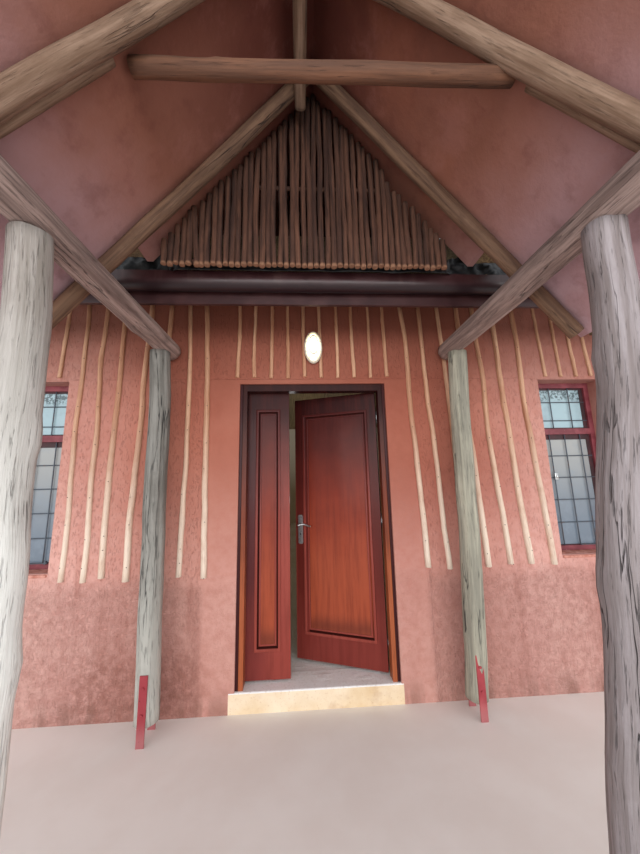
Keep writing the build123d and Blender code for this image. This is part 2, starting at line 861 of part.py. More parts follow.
for label, hand in (("left", -1), ("right", 1)):
    with BuildPart() as side_beam:
        beam(label)
    finish(side_beam, f"{label}_beam")

    with BuildPart() as inner_post:
        pole(
            porch(*inner_feet[label], post_foot),
            porch(*inner_heads[label], post_head),
            inner_post_radius, inner_post_radius - inner_post_taper, log_flats, forward,
        )
        beam(label, fit, Mode.SUBTRACT)
        shoe_flats(inner_feet[label], inner_post_radius, fit, Mode.SUBTRACT)
    finish(inner_post, f"{label}_inner_post")

    with BuildPart() as front_post:
        pole(
            porch(*front_feet[label], post_foot),
            porch(beam_sides[label], front_feet[label][1], post_head),
            front_post_radius, front_post_radius - front_post_taper, log_flats, forward,
        )
        beam(label, fit, Mode.SUBTRACT)
        shoe_flats(front_feet[label], front_post_radius, fit, Mode.SUBTRACT)
    finish(front_post, f"{label}_front_post")

rafter_pair = []
for label, hand in (("left", -1), ("right", 1)):
    with BuildPart() as back_rafter:
        slope_rafter(label, back_rafter_front, back_rafter_front)
        beam(label, fit, Mode.SUBTRACT)
        own_half(hand)
    rafter_pair.append(back_rafter.part)
with BuildPart() as back_rafters:
    add(rafter_pair)
finish(back_rafters, "back_rafters")

for label, hand in (("left", -1), ("right", 1)):
    with BuildPart() as front_rafter:
        slope_rafter(label, front_rafter_apex[label], front_rafter_foot[label])
        beam(label, fit, Mode.SUBTRACT)
        own_half(hand)
    finish(front_rafter, f"{label}_front_rafter")

# Thinner poles laid along the inner side of the front rafters, down to the eave
splice_line = porch_peak - (splice_radius + fit) * slope_stretch


def splice_point(label, place):
    """A point on a splice's axis, which runs beside its rafter."""
    run = front_rafter_foot[label] - front_rafter_apex[label]
    rafter_front = front_rafter_apex[label] + run * place / rafter_tails[label]
    return porch(place, rafter_front - splice_behind, splice_line - abs(place) * porch_slope)


splice_pair = []
for label in ("left", "right"):
    with BuildPart() as splice:
        pole(
            splice_point(label, splice_tops[label]),
            splice_point(label, rafter_tails[label]),
            splice_radius, splice_radius, roof_pole_flats, lining_normal(label),
        )
        slope_rafter(
            label, front_rafter_apex[label], front_rafter_foot[label], fit, Mode.SUBTRACT
        )
        beam(label, fit, Mode.SUBTRACT)
    splice_pair.append(splice.part)
with BuildPart() as rafter_splices:
    add(splice_pair)
finish(rafter_splices, "rafter_splices")

# Tie log behind the front rafters, notched over the right-hand one, and the ridge pole over it
with BuildPart() as tie_log:
    pole(
        porch(*tie_ends["left"]),
        porch(*tie_ends["right"]),
        tie_radius, tie_radius - tie_taper, log_flats, upright,
    )
    for label in ("left", "right"):
        slope_rafter(
            label, front_rafter_apex[label], front_rafter_foot[label], fit, Mode.SUBTRACT
        )
finish(tie_log, "tie_log")

ridge_x = -80
ridge_level = porch_peak - 275
ridge_back = 850
ridge_front = porch_front - thatch_overhang
ridge_thin_end = 35
ridge_thick_end = 38
with BuildPart() as ridge_pole:
    pole(
        porch(ridge_x, ridge_back, ridge_level),
        porch(ridge_x, ridge_front, ridge_level),
        ridge_thin_end, ridge_thick_end, log_flats, upright,
    )
    slope_rafter("left", back_rafter_front, back_rafter_front, fit, Mode.SUBTRACT)
    slope_rafter(
        "left", front_rafter_apex["left"], front_rafter_foot["left"], fit, Mode.SUBTRACT
    )
finish(ridge_pole, "ridge_pole")

# Gable infill: a fence of thin sticks nailed to two rails over the gutter
stick_radius = 16.5
stick_flats = 6
stick_count = 48
stick_gap = 36.4
stick_middle = -50
stick_front = 745
stick_foot = 2835
rail_levels = (stick_foot + 15, porch_peak - 755)
rail_size = 28


def lining_over(place):
    """Height of the porch lining's underside over a place across the porch."""
    return porch_peak - abs(place) * porch_slope


sticks = []
for place in evenly(stick_count, stick_gap, stick_middle):
    head = lining_over(abs(place) + stick_radius) - fit
    with BuildPart() as stick:
        with BuildSketch(Plane(porch(place, stick_front, stick_foot))):
            RegularPolygon(stick_radius, stick_flats)
        extrude(amount=head - stick_foot)
    sticks.append(stick.part)
with BuildPart() as gable_sticks:
    for level in rail_levels:
        low_reach = (porch_peak - level - fit) / porch_slope
        high_reach = (porch_peak - level - rail_size - fit) / porch_slope
        with BuildSketch(Plane.XZ.offset(apothem + stick_front - stick_radius / 2)):
            Polygon(
                (-low_reach, level), (low_reach, level),
                (high_reach, level + rail_size), (-high_reach, level + rail_size),
                align=None,
            )
        extrude(amount=-rail_size)
    add(sticks)
finish(gable_sticks, "gable_sticks")

# Steel flats that hold the porch posts clear of the ground
with BuildPart() as post_shoes:
    for label in ("left", "right"):
        shoe_flats(inner_feet[label], inner_post_radius)
        shoe_flats(front_feet[label], front_post_radius)
finish(post_shoes, "post_shoes")

# Oval wall lamp over the door
lamp_width = 150
lamp_height = 275
lamp_depth = 85
lamp_base = 30
lamp_rim = 20
lamp_corner = 40
lamp_bevel = 22
lamp_x = 5
lamp_level = 2630
lamp_back = short_pole_radius + 2 * fit
with BuildPart() as wall_lamp:
    with BuildSketch(face(0, lamp_back)) as base_outline:
        with Locations((lamp_x, lamp_level)):
            Rectangle(lamp_width, lamp_height)
        chamfer(base_outline.vertices(), length=lamp_corner)
    extrude(amount=lamp_base)
    with BuildSketch(face(0, lamp_back + lamp_base)) as glass_outline:
        with Locations((lamp_x, lamp_level)):
            Rectangle(lamp_width - 2 * lamp_rim, lamp_height - 2 * lamp_rim)
        chamfer(glass_outline.vertices(), length=lamp_corner - lamp_rim / 2)
    extrude(amount=lamp_depth - lamp_base)
    chamfer(wall_lamp.faces().sort_by(Axis.Y)[0].edges(), length=lamp_bevel)
finish(wall_lamp, "wall_lamp")
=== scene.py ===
import contextlib
import math
import random

import bpy
from mathutils import Matrix, Vector, noise


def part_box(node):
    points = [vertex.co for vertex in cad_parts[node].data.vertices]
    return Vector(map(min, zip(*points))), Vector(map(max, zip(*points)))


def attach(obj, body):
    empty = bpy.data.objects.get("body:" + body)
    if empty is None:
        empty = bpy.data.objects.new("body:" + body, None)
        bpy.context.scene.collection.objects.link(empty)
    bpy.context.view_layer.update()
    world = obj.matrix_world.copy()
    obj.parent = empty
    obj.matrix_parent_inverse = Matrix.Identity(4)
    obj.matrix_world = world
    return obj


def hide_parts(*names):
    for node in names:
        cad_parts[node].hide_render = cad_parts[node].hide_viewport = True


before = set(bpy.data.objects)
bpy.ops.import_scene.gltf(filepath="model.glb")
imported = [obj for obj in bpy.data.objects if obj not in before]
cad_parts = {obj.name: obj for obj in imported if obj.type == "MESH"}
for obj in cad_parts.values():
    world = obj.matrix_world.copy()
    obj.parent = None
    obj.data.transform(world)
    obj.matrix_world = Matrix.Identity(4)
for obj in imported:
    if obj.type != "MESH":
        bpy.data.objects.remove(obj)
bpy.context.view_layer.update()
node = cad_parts

# The floor slab is one bed of concrete on the ground, trowelled smooth, and the doorstep is a second
# pour against it. Both were left bare: pale cream cement, worn and stained with red earth.


def paint(code):
    """A colour as a painter's chart gives it, RRGGBB, in the linear values that shaders take."""
    parts = [int(code[place:place + 2], 16) / 255 for place in (0, 2, 4)]
    return tuple(part / 12.92 if part < 0.04045 else ((part + 0.055) / 1.055) ** 2.4 for part in parts)


class Wire:
    """A socket in a material. Arithmetic on it adds Math nodes, and node() adds a node of any other kind."""

    def __init__(self, tree, socket=None):
        self.tree = tree
        self.socket = socket

    def node(self, kind, settings, sockets, output=0):
        made = self.tree.nodes.new("ShaderNode" + kind)
        for name, value in settings.items():
            setattr(made, name, value)
        for name, value in sockets.items():
            if isinstance(value, Wire):
                self.tree.links.new(value.socket, made.inputs[name])
            else:
                made.inputs[name].default_value = value
        return Wire(self.tree, made.outputs[output])

    def math(self, operation, first, second):
        return self.node("Math", {"operation": operation}, {0: first, 1: second})

    def __add__(self, other):
        return self.math("ADD", self, other)

    def __sub__(self, other):
        return self.math("SUBTRACT", self, other)

    def __rsub__(self, other):
        return self.math("SUBTRACT", other, self)

    def __mul__(self, other):
        return self.math("MULTIPLY", self, other)

    __radd__ = __add__
    __rmul__ = __mul__

    def __abs__(self):
        return self.math("ABSOLUTE", self, 0.0)

    def highest(self, other):
        return self.math("MAXIMUM", self, other)

    def axis(self, name):
        """The X, Y or Z of a place."""
        return self.node("SeparateXYZ", {}, {0: self}, name)

    def rising(self, low, high):
        """0 below low, 1 above high and a smooth slope between them."""
        return self.node("MapRange", {"interpolation_type": "SMOOTHSTEP"},
                         {"Value": self, "From Min": low, "From Max": high})

    def noise(self, scale, detail=3.0, roughness=0.55):
        return self.node("TexNoise", {},
                         {"Vector": self, "Scale": scale, "Detail": detail, "Roughness": roughness})

    def streaks(self, across, along, detail=3.0, roughness=0.55):
        """Noise with one scale across X and Y and another along Z."""
        drawn = self.node("Mapping", {}, {"Vector": self, "Scale": (across, across, along)})
        return drawn.noise(1.0, detail, roughness)

    def blended(self, low, high):
        """From colour low where this is 0 to colour high where it is 1."""
        ends = [end if isinstance(end, Wire) else (*paint(end), 1.0) for end in (low, high)]
        return self.node("Mix", {"data_type": "RGBA"}, {0: self, 6: ends[0], 7: ends[1]}, 2)

    def stained(self, mask, colour):
        """This colour, with another over it as far as the mask goes."""
        return mask.blended(self, colour)


def new_finish(name, grain=False, roughness=0.8, metallic=0.0, coat=0.0, coat_roughness=0.03, specular=0.5,
               glow=0.0):
    """A material, and the place in the object or along a pole's own grain that its pattern follows."""
    material = bpy.data.materials.new(name)
    material.use_nodes = True
    constants = {
        "Roughness": roughness, "Metallic": metallic, "Coat Weight": coat, "Coat Roughness": coat_roughness,
        "Specular IOR Level": specular, "Emission Strength": glow,
    }
    for socket, value in constants.items():
        material.node_tree.nodes["Principled BSDF"].inputs[socket].default_value = value
    start = Wire(material.node_tree)
    if grain:
        return material, start.node("Attribute", {"attribute_name": "grain"}, {}, "Vector")
    return material, start.node("TexCoord", {}, {}, "Object")


def connect(material, **values):
    """Feeds the shader's sockets from wires, and its normal from a height in metres."""
    tree = material.node_tree
    shader = tree.nodes["Principled BSDF"]
    for name, value in values.items():
        if name == "height":
            name = "normal"
            value = value.node("Bump", {}, {"Height": value, "Distance": 1.0, "Strength": 1.0})
        tree.links.new(value.socket, shader.inputs[name.replace("_", " ").title()])


def wear(piece, material):
    """Gives a node or a piece its one material."""
    piece.data.materials.clear()
    piece.data.materials.append(material)


slab_edge, slab_top = 0.121, 0.124
cement, place = new_finish("trowelled_cement")
clouds = place.noise(2.2, 6.0)
grains = place.noise(120.0, 2.0)
stains = place.noise(7.0, 5.0).rising(0.5, 0.72)
speckle = place.noise(55.0, 4.0, 0.65)
tone = clouds.rising(0.35, 0.7).blended("DDBF92", "F5E4CA")
tone = tone.stained(speckle.rising(0.55, 0.7) * 0.4, "C79C70")
tone = tone.stained(stains * 0.4, "B98F6B")
# Painted daylight: the tops of slab and step are painted almost white, paler than the cream cement of their
# edges.
painted_daylight_top = clouds.rising(0.35, 0.6).blended("F4F2EE", "FEFEFE")
painted_daylight_top = painted_daylight_top.stained(speckle.rising(0.5, 0.7) * 0.25, "B5A795")
tone = tone.stained(place.axis("Z").rising(slab_edge, slab_top) * 0.92, painted_daylight_top)
connect(cement, base_color=tone, roughness=0.5 + grains * 0.3,
        height=grains * 0.0008 + clouds * 0.004 + stains * 0.003)
for name in ("floor_slab", "door_step"):
    wear(node[name], cement)

# The walls are brick, rendered by hand with earth-coloured plaster outside and limewashed cream inside.
# The foot was left as rough spatterdash that has caught the dirt, and the band round the door was
# floated smooth up to a small step level with the feet of the short poles.
turn_step = math.radians(60)
smooth_sides = (0.80, 0.86)
smooth_top = (2.368, 2.374)
rough_top = (0.86, 1.04)
inside_to_outside = (4.595, 4.615)
seam_right_of_door = 0.85
render_coat, place = new_finish("earth_plaster")
across, deep, up = (place.axis(name) for name in "XYZ")
width = abs(across)
depth_in = abs(deep).highest(width * math.sin(turn_step) + abs(deep) * math.cos(turn_step))
outside = depth_in.rising(*inside_to_outside)
front = 1 - deep.rising(-4.7, -4.6)
by_door = front * (1 - width.rising(*smooth_sides)) * (1 - up.rising(*smooth_top))
ragged = up + place.noise(3.0, 4.0) * 0.16
foot = (1 - ragged.rising(*rough_top)) * (1 - by_door * 0.6)
patches = place.noise(0.9, 6.0, 0.6)
mottle = place.noise(17.0, 5.0, 0.65)
runs = place.streaks(8.0, 0.8, 5.0)
pits = place.streaks(120.0, 34.0, 4.0, 0.6).rising(0.54, 0.68) * (1 - by_door * 0.9)
spatter = place.noise(46.0, 4.0, 0.7)
# Painted daylight: the plaster is painted paler and pinker low down and towards the sides, where the open
# porch lets the daylight in.
dust_and_painted_daylight = (1 - up.rising(0.5, 1.9)) * 0.65 + width.rising(1.1, 2.0) * 0.6
tone = patches.rising(0.32, 0.68).blended("9A5441", "AC6A57")
tone = tone.stained(dust_and_painted_daylight, patches.rising(0.3, 0.7).blended("D09A90", "E2B3A8"))
tone = tone.stained(mottle.rising(0.35, 0.75) * 0.35, "B06A58")
# Painted shade: the wall darkens towards the top, under the gutter and the porch roof.
tone = tone.stained(up.rising(1.95, 2.95) * 0.75, "7C4433")
tone = tone.stained(runs.rising(0.55, 0.75) * 0.35 * (1 - by_door), "A8685A")
tone = tone.stained(foot * mottle.rising(0.40, 0.62) * 0.22, "B07F76")
tone = tone.stained(foot * runs.rising(0.50, 0.68) * 0.18, "97594B")
for spot, level in ((-0.98, 0.15), (-1.45, 0.15)):
    far = (across - spot) * (across - spot) * 16.0 + (up - level) * (up - level) * 9.0
    splash = 1 - (far + patches * 0.6 - 0.3).rising(0.1, 1.2)
    tone = tone.stained(front * splash * mottle.rising(0.3, 0.6) * 0.42, "8C5646")
tone = tone.stained((1 - up.rising(0.02, 0.2)) * runs.rising(0.4, 0.6) * 0.5, "8A6457")
tone = tone.stained(pits * 0.22, "8A4C3C")
tone = outside.blended("E9E0CD", tone)
relief = mottle * 0.0015 + place.noise(90.0, 3.0) * 0.0007 - pits * 0.0022 * outside
relief = relief + (1 - by_door) * outside * runs * 0.006
relief = relief + foot * outside * spatter.rising(0.35, 0.7) * 0.007
relief = relief + front * up.rising(2.369, 2.373) * 0.004
seam = abs(across - seam_right_of_door).rising(0.0, 0.012)
relief = relief + front * seam * (1 - up.rising(0.86, 0.9)) * 0.006
connect(render_coat, base_color=tone, roughness=0.78 + mottle * 0.2, height=relief)
for name in ("front_wall_left", "front_wall_right", "wall_over_door", "right_front_wall",
             "right_back_wall", "back_wall", "left_back_wall", "left_front_wall"):
    wear(node[name], render_coat)

# Under each window the plaster was drawn forward into a thin sloping sill that throws the rain off
# the reveal. It has the wall's own colour, rubbed pale along the edge.
wall_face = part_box("front_wall_left")[0].y
window_middle = 2.175
sill_left, sill_right = 1.905, 2.445
sill_under, sill_top = 0.938, 0.958


def only(piece):
    """Selects one piece and makes it active."""
    bpy.ops.object.select_all(action="DESELECT")
    piece.select_set(True)
    bpy.context.view_layer.objects.active = piece


def settle(piece):
    """Moves a piece's place, turn and scale into its mesh."""
    only(piece)
    bpy.ops.object.transform_apply(location=True, rotation=True, scale=True)
    return piece


@contextlib.contextmanager
def editing(piece, faces=None, edges=None):
    """Edit mode on the faces, or the edges between two points, that a test chooses, or on everything."""
    only(piece)
    mesh = piece.data
    if faces:
        bpy.context.tool_settings.mesh_select_mode = (False, False, True)
        for part in (*mesh.vertices, *mesh.edges):
            part.select = False
        for face in mesh.polygons:
            face.select = faces(face)
    elif edges:
        bpy.context.tool_settings.mesh_select_mode = (False, True, False)
        for part in (*mesh.vertices, *mesh.polygons):
            part.select = False
        for edge in mesh.edges:
            edge.select = edges(*(mesh.vertices[number].co for number in edge.vertices))
    bpy.ops.object.mode_set(mode="EDIT")
    if not (faces or edges):
        bpy.ops.mesh.select_all(action="SELECT")
    yield
    bpy.ops.object.mode_set(mode="OBJECT")


def started(name, add, scale=(1, 1, 1), **settings):
    """A piece begun from one of Blender's primitives, with its scale and turn in its mesh."""
    bpy.ops.object.select_all(action="DESELECT")
    add(**settings)
    piece = bpy.context.object
    piece.name = name
    piece.scale = scale
    return settle(piece)


def block(name, low, high):
    """A box between two corners, as the start of a piece."""
    middle = [(a + b) / 2 for a, b in zip(low, high)]
    return started(name, bpy.ops.mesh.primitive_cube_add, [b - a for a, b in zip(low, high)],
                   size=1.0, location=middle)


def modified(piece, kind, **settings):
    """Adds a modifier with its settings and applies it."""
    only(piece)
    modifier = piece.modifiers.new(kind.lower(), kind)
    for name, value in settings.items():
        setattr(modifier, name, value)
    bpy.ops.object.modifier_apply(modifier=modifier.name)
    return piece


def soften(piece, width, segments=2):
    """Rounds every edge and smooths what is left flat."""
    modified(piece, "BEVEL", width=width, segments=segments, limit_method="ANGLE")
    bpy.ops.object.shade_smooth_by_angle(angle=math.radians(35))
    return piece


def copied(piece, name, matrix):
    """A copy with a mesh of its own, moved by a matrix in its points."""
    other = bpy.data.objects.new(name, piece.data.copy())
    bpy.context.scene.collection.objects.link(other)
    other.data.transform(matrix)
    return other


def joined(pieces, name):
    """Joins pieces into the first of them and names it."""
    bpy.ops.object.select_all(action="DESELECT")
    for piece in pieces:
        piece.select_set(True)
    bpy.context.view_layer.objects.active = pieces[0]
    bpy.ops.object.join()
    pieces[0].name = name
    return pieces[0]


def at_windows(piece, name):
    """Copies a piece made at the front right-hand window to every window, and joins them."""
    made = []
    for side in range(6):
        for hand in (-1, 1):
            shift = Matrix.Translation(((hand - 1) * window_middle, 0, 0))
            made.append(copied(piece, name, Matrix.Rotation(turn_step * side, 4, "Z") @ shift))
    bpy.data.objects.remove(piece)
    return joined(made, name)


sill = block("sill", (sill_left, wall_face - 0.012, sill_under), (sill_right, wall_face + 0.119, sill_top))
with editing(sill, faces=lambda face: face.normal.y < -0.5):
    bpy.ops.transform.translate(value=(0, 0, -0.012))
soften(sill, 0.006, 3)
sills = at_windows(sill, "window_sills")
sill_coat, place = new_finish("sill_plaster")
worn = place.noise(22.0, 5.0)
connect(sill_coat, base_color=worn.rising(0.35, 0.7).blended("B4705F", "D9A091"),
        roughness=0.75 + worn * 0.2, height=worn * 0.003 + place.noise(140.0, 2.0) * 0.0006)
wear(sills, sill_coat)
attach(sills, "hut")

# Roof poles, porch posts and beams are round gum poles, cut, barked and left to weather. Every one is
# grown from the same ringed blank: swelled, bent and fluted along its length, with knots and splits.
apothem = 2.75 * math.tan(turn_step)
roof_pitch = math.tan(math.radians(38))
eave_out, hub_out, under_thatch = 0.497, 0.09, 0.0702
rafter_butt, rafter_tip = 0.053, 0.048


def blank_pole(sides, rings):
    """A cylinder one unit long with rings along it and its ends set in."""
    piece = started("blank", bpy.ops.mesh.primitive_cylinder_add, vertices=sides, radius=1.0, depth=1.0,
                    end_fill_type="NGON")
    with editing(piece, edges=lambda a, b: abs(a.z - b.z) > 0.5):
        bpy.ops.mesh.subdivide(number_cuts=rings)
    with editing(piece, faces=lambda face: abs(face.normal.z) > 0.5):
        bpy.ops.mesh.inset(thickness=0.09, use_individual=True)
    mesh = piece.data
    bpy.data.objects.remove(piece)
    return mesh


def pole(name, blank, start, end, butt, tip, seed, bend=0.0, lumps=0.05, knots=(), depth=1.0):
    """A pole between two points, thick at the butt and thinner at the tip, with a grain along it."""
    start, end = Vector(start), Vector(end)
    run = end - start
    length = run.length
    along = run.normalized()
    side = Vector((0, 1, 0) if abs(along.y) < 0.9 else (0, 0, 1)).cross(along).normalized()
    other = along.cross(side)
    piece = bpy.data.objects.new(name, blank.copy())
    bpy.context.scene.collection.objects.link(piece)
    grain = piece.data.attributes.new("grain", "FLOAT_VECTOR", "POINT")

    def wander(down, row):
        slow = noise.noise(Vector((down * 1.3 + seed * 7.3, seed * 1.7, row)))
        quick = noise.noise(Vector((down * 4.5 + seed * 3.1, seed * 2.9, row + 9.0)))
        return slow + quick * 0.22

    def drift(down, row):
        """How far the line has wandered there from the straight one between the ends."""
        ends = wander(0.0, row), wander(length, row)
        return wander(down, row) - ends[0] - (ends[1] - ends[0]) * down / length

    for number, point in enumerate(piece.data.vertices):
        share = point.co.z + 0.5
        reach = math.hypot(point.co.x, point.co.y)
        angle = math.atan2(point.co.y, point.co.x)
        thick = butt + (tip - butt) * share
        down = share * length
        around = Vector((math.cos(angle), math.sin(angle), 0))
        swell = noise.noise(around + Vector((0, 0, down / thick * 0.16 + seed * 3.1)))
        flute = noise.noise(around * 2.6 + Vector((0, 0, down / thick * 0.05 + seed)))
        radius = thick * reach * (1 + lumps * swell + lumps * 0.8 * flute)
        for where, turn, height, size in knots:
            far = math.remainder(angle - turn, math.tau) * thick
            radius += height * reach * math.exp(-(((down - where) / size) ** 2) - (far / size) ** 2)
        dome = (1 - reach) * thick * 0.25 * (1 if share > 0.5 else -1)
        point.co = (start + along * (down + dome)
                    + side * (radius * math.cos(angle) + drift(down, 0.5) * bend)
                    + other * (radius * math.sin(angle) + drift(down, 5.5) * depth * bend))
        grain.data[number].vector = (
            thick * reach * math.cos(angle), thick * reach * math.sin(angle), down + seed * 5)
    for face in piece.data.polygons:
        face.use_smooth = True
    piece.data.update()
    return piece


def timber(name, pale, brown, dark, splits=0.5, roughness=0.8, gain=1.0, flecks=0.4, foot=None):
    """Weathered round timber: streaks along the grain, blotches, dark splits and flecks, a paler foot."""
    material, place = new_finish(name, grain=True)
    streaks = place.streaks(34.0, 1.6, 5.0, 0.65)
    broad = place.streaks(11.0, 0.7, 5.0, 0.6)
    fibres = place.streaks(150.0, 5.0, 3.0, 0.6)
    blotch = place.streaks(6.0, 3.2, 6.0, 0.65)
    own = place.streaks(0.3, 0.21, 1.0)
    fleck = place.streaks(115.0, 8.0, 4.0, 0.65).rising(0.56, 0.72)
    line = abs(place.streaks(13.0, 0.8, 4.0, 0.6) - 0.5)
    where = place.streaks(3.0, 0.8, 3.0)
    split = (1 - line.rising(0.002, 0.012)) * where.rising(0.64 - splits * 0.2, 0.72 - splits * 0.1)
    tone = streaks.rising(0.34, 0.66).blended(brown, pale)
    tone = tone.stained(own.rising(0.35, 0.65) * 0.3, brown)
    tone = tone.stained(blotch.rising(0.48, 0.70) * 0.6, brown)
    # The foot colour pales the lower part: real pale cut ends on the gable sticks, painted daylight low on
    # the peeled poles and posts.
    if foot:
        colour, low, high = foot
        height = place.node("TexCoord", {}, {}, "Object").axis("Z")
        tone = tone.stained((1 - height.rising(low, high)) * (1 - blotch.rising(0.45, 0.75) * 0.6), colour)
    tone = tone.stained(broad.rising(0.52, 0.74) * flecks * 0.6, dark)
    tone = tone.stained(fibres.rising(0.55, 0.75) * 0.3, dark)
    tone = tone.stained(fleck * flecks, dark)
    tone = tone.stained(split * 0.9, dark)
    relief = fibres * 0.0012 + streaks * 0.002 - split * 0.007 - fleck * 0.0012 + blotch * 0.002
    connect(material, base_color=tone, roughness=(roughness - 0.1) + fibres * 0.25, height=relief * gain)
    return material


def thatch_under(out):
    """Height of the thatch's underside, a distance outside the wall faces."""
    return 3.330 - out * roof_pitch


post_blank = blank_pole(36, 44)
rafter_blank = blank_pole(20, 26)
rafters = []
for side in range(6):
    turn = Matrix.Rotation(turn_step * side, 4, "Z")
    for number, offset in enumerate((-1.75, -0.75, 0.75, 1.75)):
        top_in = apothem - abs(offset) * math.tan(turn_step) - hub_out
        low = turn @ Vector((offset, -apothem - eave_out, thatch_under(eave_out) - under_thatch))
        top = turn @ Vector((offset, -apothem + top_in, thatch_under(-top_in) - under_thatch))
        rafters.append(pole("rafter", rafter_blank, low, top, rafter_butt, rafter_tip,
                            side * 4 + number + 1, 0.004, 0.03))
straight = joined(rafters, "gum_rafters")
wear(straight, timber("roof_gum_pole", "8F7C63", "75614B", "3B2E24", 0.4))
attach(straight, "hut")
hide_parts("straight_rafters")

hub_wood, place = new_finish("sawn_hub")
rings = place.streaks(60.0, 4.0, 5.0)
connect(hub_wood, base_color=rings.rising(0.35, 0.65).blended("6B543E", "94795A"),
        roughness=0.7 + rings * 0.2, height=rings * 0.001)
for name in ("rafter_hub", "hip_rafters"):
    wear(node[name], hub_wood)

# The thatch is grass laid in courses on the rafters, combed down and clipped square at the eaves. The
# six panels run into each other over the hips, so the main roof is one coat; the porch has its own.
porch_fall = 1.22
course_height = 0.36


def thatch_coat(name, sources, voxel, facing):
    """One coat over the CAD panels: merged, remeshed, then laid in courses and roughed up."""
    piece = joined([copied(node[source], name, Matrix()) for source in sources], name)
    with editing(piece):
        bpy.ops.mesh.remove_doubles(threshold=0.0002)
    modified(piece, "REMESH", mode="VOXEL", voxel_size=voxel)
    grain = piece.data.attributes.new("grain", "FLOAT_VECTOR", "POINT")
    moved = []
    for number, point in enumerate(piece.data.vertices):
        spot, normal = point.co.copy(), point.normal.copy()
        out, fall = facing(spot)
        flat = out.dot(spot)
        slant = math.hypot(1.0, fall)
        upslope = -flat * slant
        sideways = out.cross(Vector((0, 0, 1))).dot(spot)
        surface = Vector((out.x * fall, out.y * fall, 1.0)) / slant
        grain.data[number].vector = (sideways, surface.dot(spot), upslope)
        clump = noise.noise(Vector((sideways * 7.0, flat * 0.8, spot.z)))
        wave = noise.noise(Vector((sideways * 0.9, flat * 0.7, 3.0)))
        if normal.dot(surface) > 0.5:
            course = ((upslope + 0.05 * wave + 0.02 * clump) / course_height) % 1.0
            lift = 0.010 * (1 - course) + 0.006 * clump + 0.006 * wave - 0.006
        elif normal.dot(surface) < -0.5:
            lift = 0.0
        else:
            ragged = noise.noise(Vector((sideways * 22.0, spot.z * 22.0, 1.0)))
            lift = 0.008 * clump + 0.012 * ragged - 0.014
        moved.append(spot + normal * lift)
    for point, spot in zip(piece.data.vertices, moved):
        point.co = spot
    for face in piece.data.polygons:
        face.use_smooth = True
    piece.data.update()
    return piece


def hip_facing(spot):
    """The way out and the fall of the main roof over a place."""
    side = round(math.atan2(spot.x, -spot.y) / turn_step) % 6
    return Matrix.Rotation(turn_step * side, 3, "Z") @ Vector((0, -1, 0)), roof_pitch


def porch_facing(spot):
    """The way out and the fall of the porch roof over a place."""
    return Vector((1 if spot.x > 0 else -1, 0, 0)), porch_fall


main_thatch = thatch_coat("main_thatch", [
    "thatch_front", "thatch_right_front", "thatch_right_back", "thatch_back", "thatch_left_back",
    "thatch_left_front"], 0.062, hip_facing)
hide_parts("thatch_front", "thatch_right_front", "thatch_right_back", "thatch_back",
            "thatch_left_back", "thatch_left_front")
porch_thatch = thatch_coat("porch_thatch", ["porch_thatch_left", "porch_thatch_right"], 0.036, porch_facing)
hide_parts("porch_thatch_left", "porch_thatch_right")
grass, place = new_finish("combed_grass", grain=True)
stalks = place.streaks(95.0, 3.0, 4.0, 0.65)
bundles = place.streaks(14.0, 0.9, 5.0, 0.6)
weather = place.streaks(0.8, 0.5, 6.0, 0.6)
tone = stalks.rising(0.3, 0.7).blended("5E4B34", "A8926A")
tone = tone.stained(bundles.rising(0.4, 0.7) * 0.55, "7C6A4D")
tone = tone.stained(weather.rising(0.42, 0.68) * 0.5, "6F6454")
tone = tone.stained(stalks.rising(0.62, 0.8) * 0.4, "3A2E20")
connect(grass, base_color=tone, roughness=0.8 + stalks * 0.15, height=stalks * 0.010 + bundles * 0.016)
for coat in (main_thatch, porch_thatch):
    wear(coat, grass)
    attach(coat, "hut")

# The clipped butts of the grass stand a little proud along the eaves, in uneven tufts that the shears
# missed. They are the same grass as the coat behind them.
rng = random.Random(11)
straw_blank = blank_pole(4, 1)
eave_line, eave_height = -5.285, 3.06
tufts_a_side, side_reach = 22, 2.85


def tuft(number, spot, out, fall, spread):
    """A few stalks that lean out of the clipped edge."""
    along = out.cross(Vector((0, 0, 1)))
    stalks = []
    for stalk in range(7):
        root = spot + along * rng.uniform(-spread, spread) + Vector((0, 0, rng.uniform(-0.11, 0.11)))
        lean = out * 0.10 + Vector((0, 0, -0.10 * fall)) + along * rng.uniform(-0.02, 0.02)
        lean = lean * rng.uniform(0.5, 1.0)
        stalks.append(pole("stalk", straw_blank, root - out * 0.06, root + lean, 0.005, 0.003,
                           number + stalk, 0.004))
    return joined(stalks, "tuft")


tufts = []
for side in range(6):
    turn = Matrix.Rotation(turn_step * side, 3, "Z")
    for number in range(tufts_a_side):
        x = -side_reach + number * 2 * side_reach / (tufts_a_side - 1) + rng.uniform(-0.06, 0.06)
        spot = turn @ Vector((x, eave_line, eave_height))
        tufts.append(tuft(number + side * 30, spot, turn @ Vector((0, -1, 0)), roof_pitch, 0.12))
eave_tufts = joined(tufts, "eave_tufts")
wear(eave_tufts, grass)
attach(eave_tufts, "hut")

# A cap of trowelled mortar sits over the meeting of the panels and keeps the rain off the peak. It has
# weathered grey and gone dark in patches.
mortar, place = new_finish("cap_mortar")
crust = place.noise(9.0, 6.0, 0.65)
tone = crust.rising(0.35, 0.68).blended("7E766B", "ADA396")
tone = tone.stained(place.noise(3.0, 6.0).rising(0.52, 0.66) * 0.6, "5F5B4C")
connect(mortar, base_color=tone, roughness=0.85 + crust * 0.1,
        height=crust * 0.012 + place.noise(80.0, 3.0) * 0.001)
wear(node["roof_cap"], mortar)

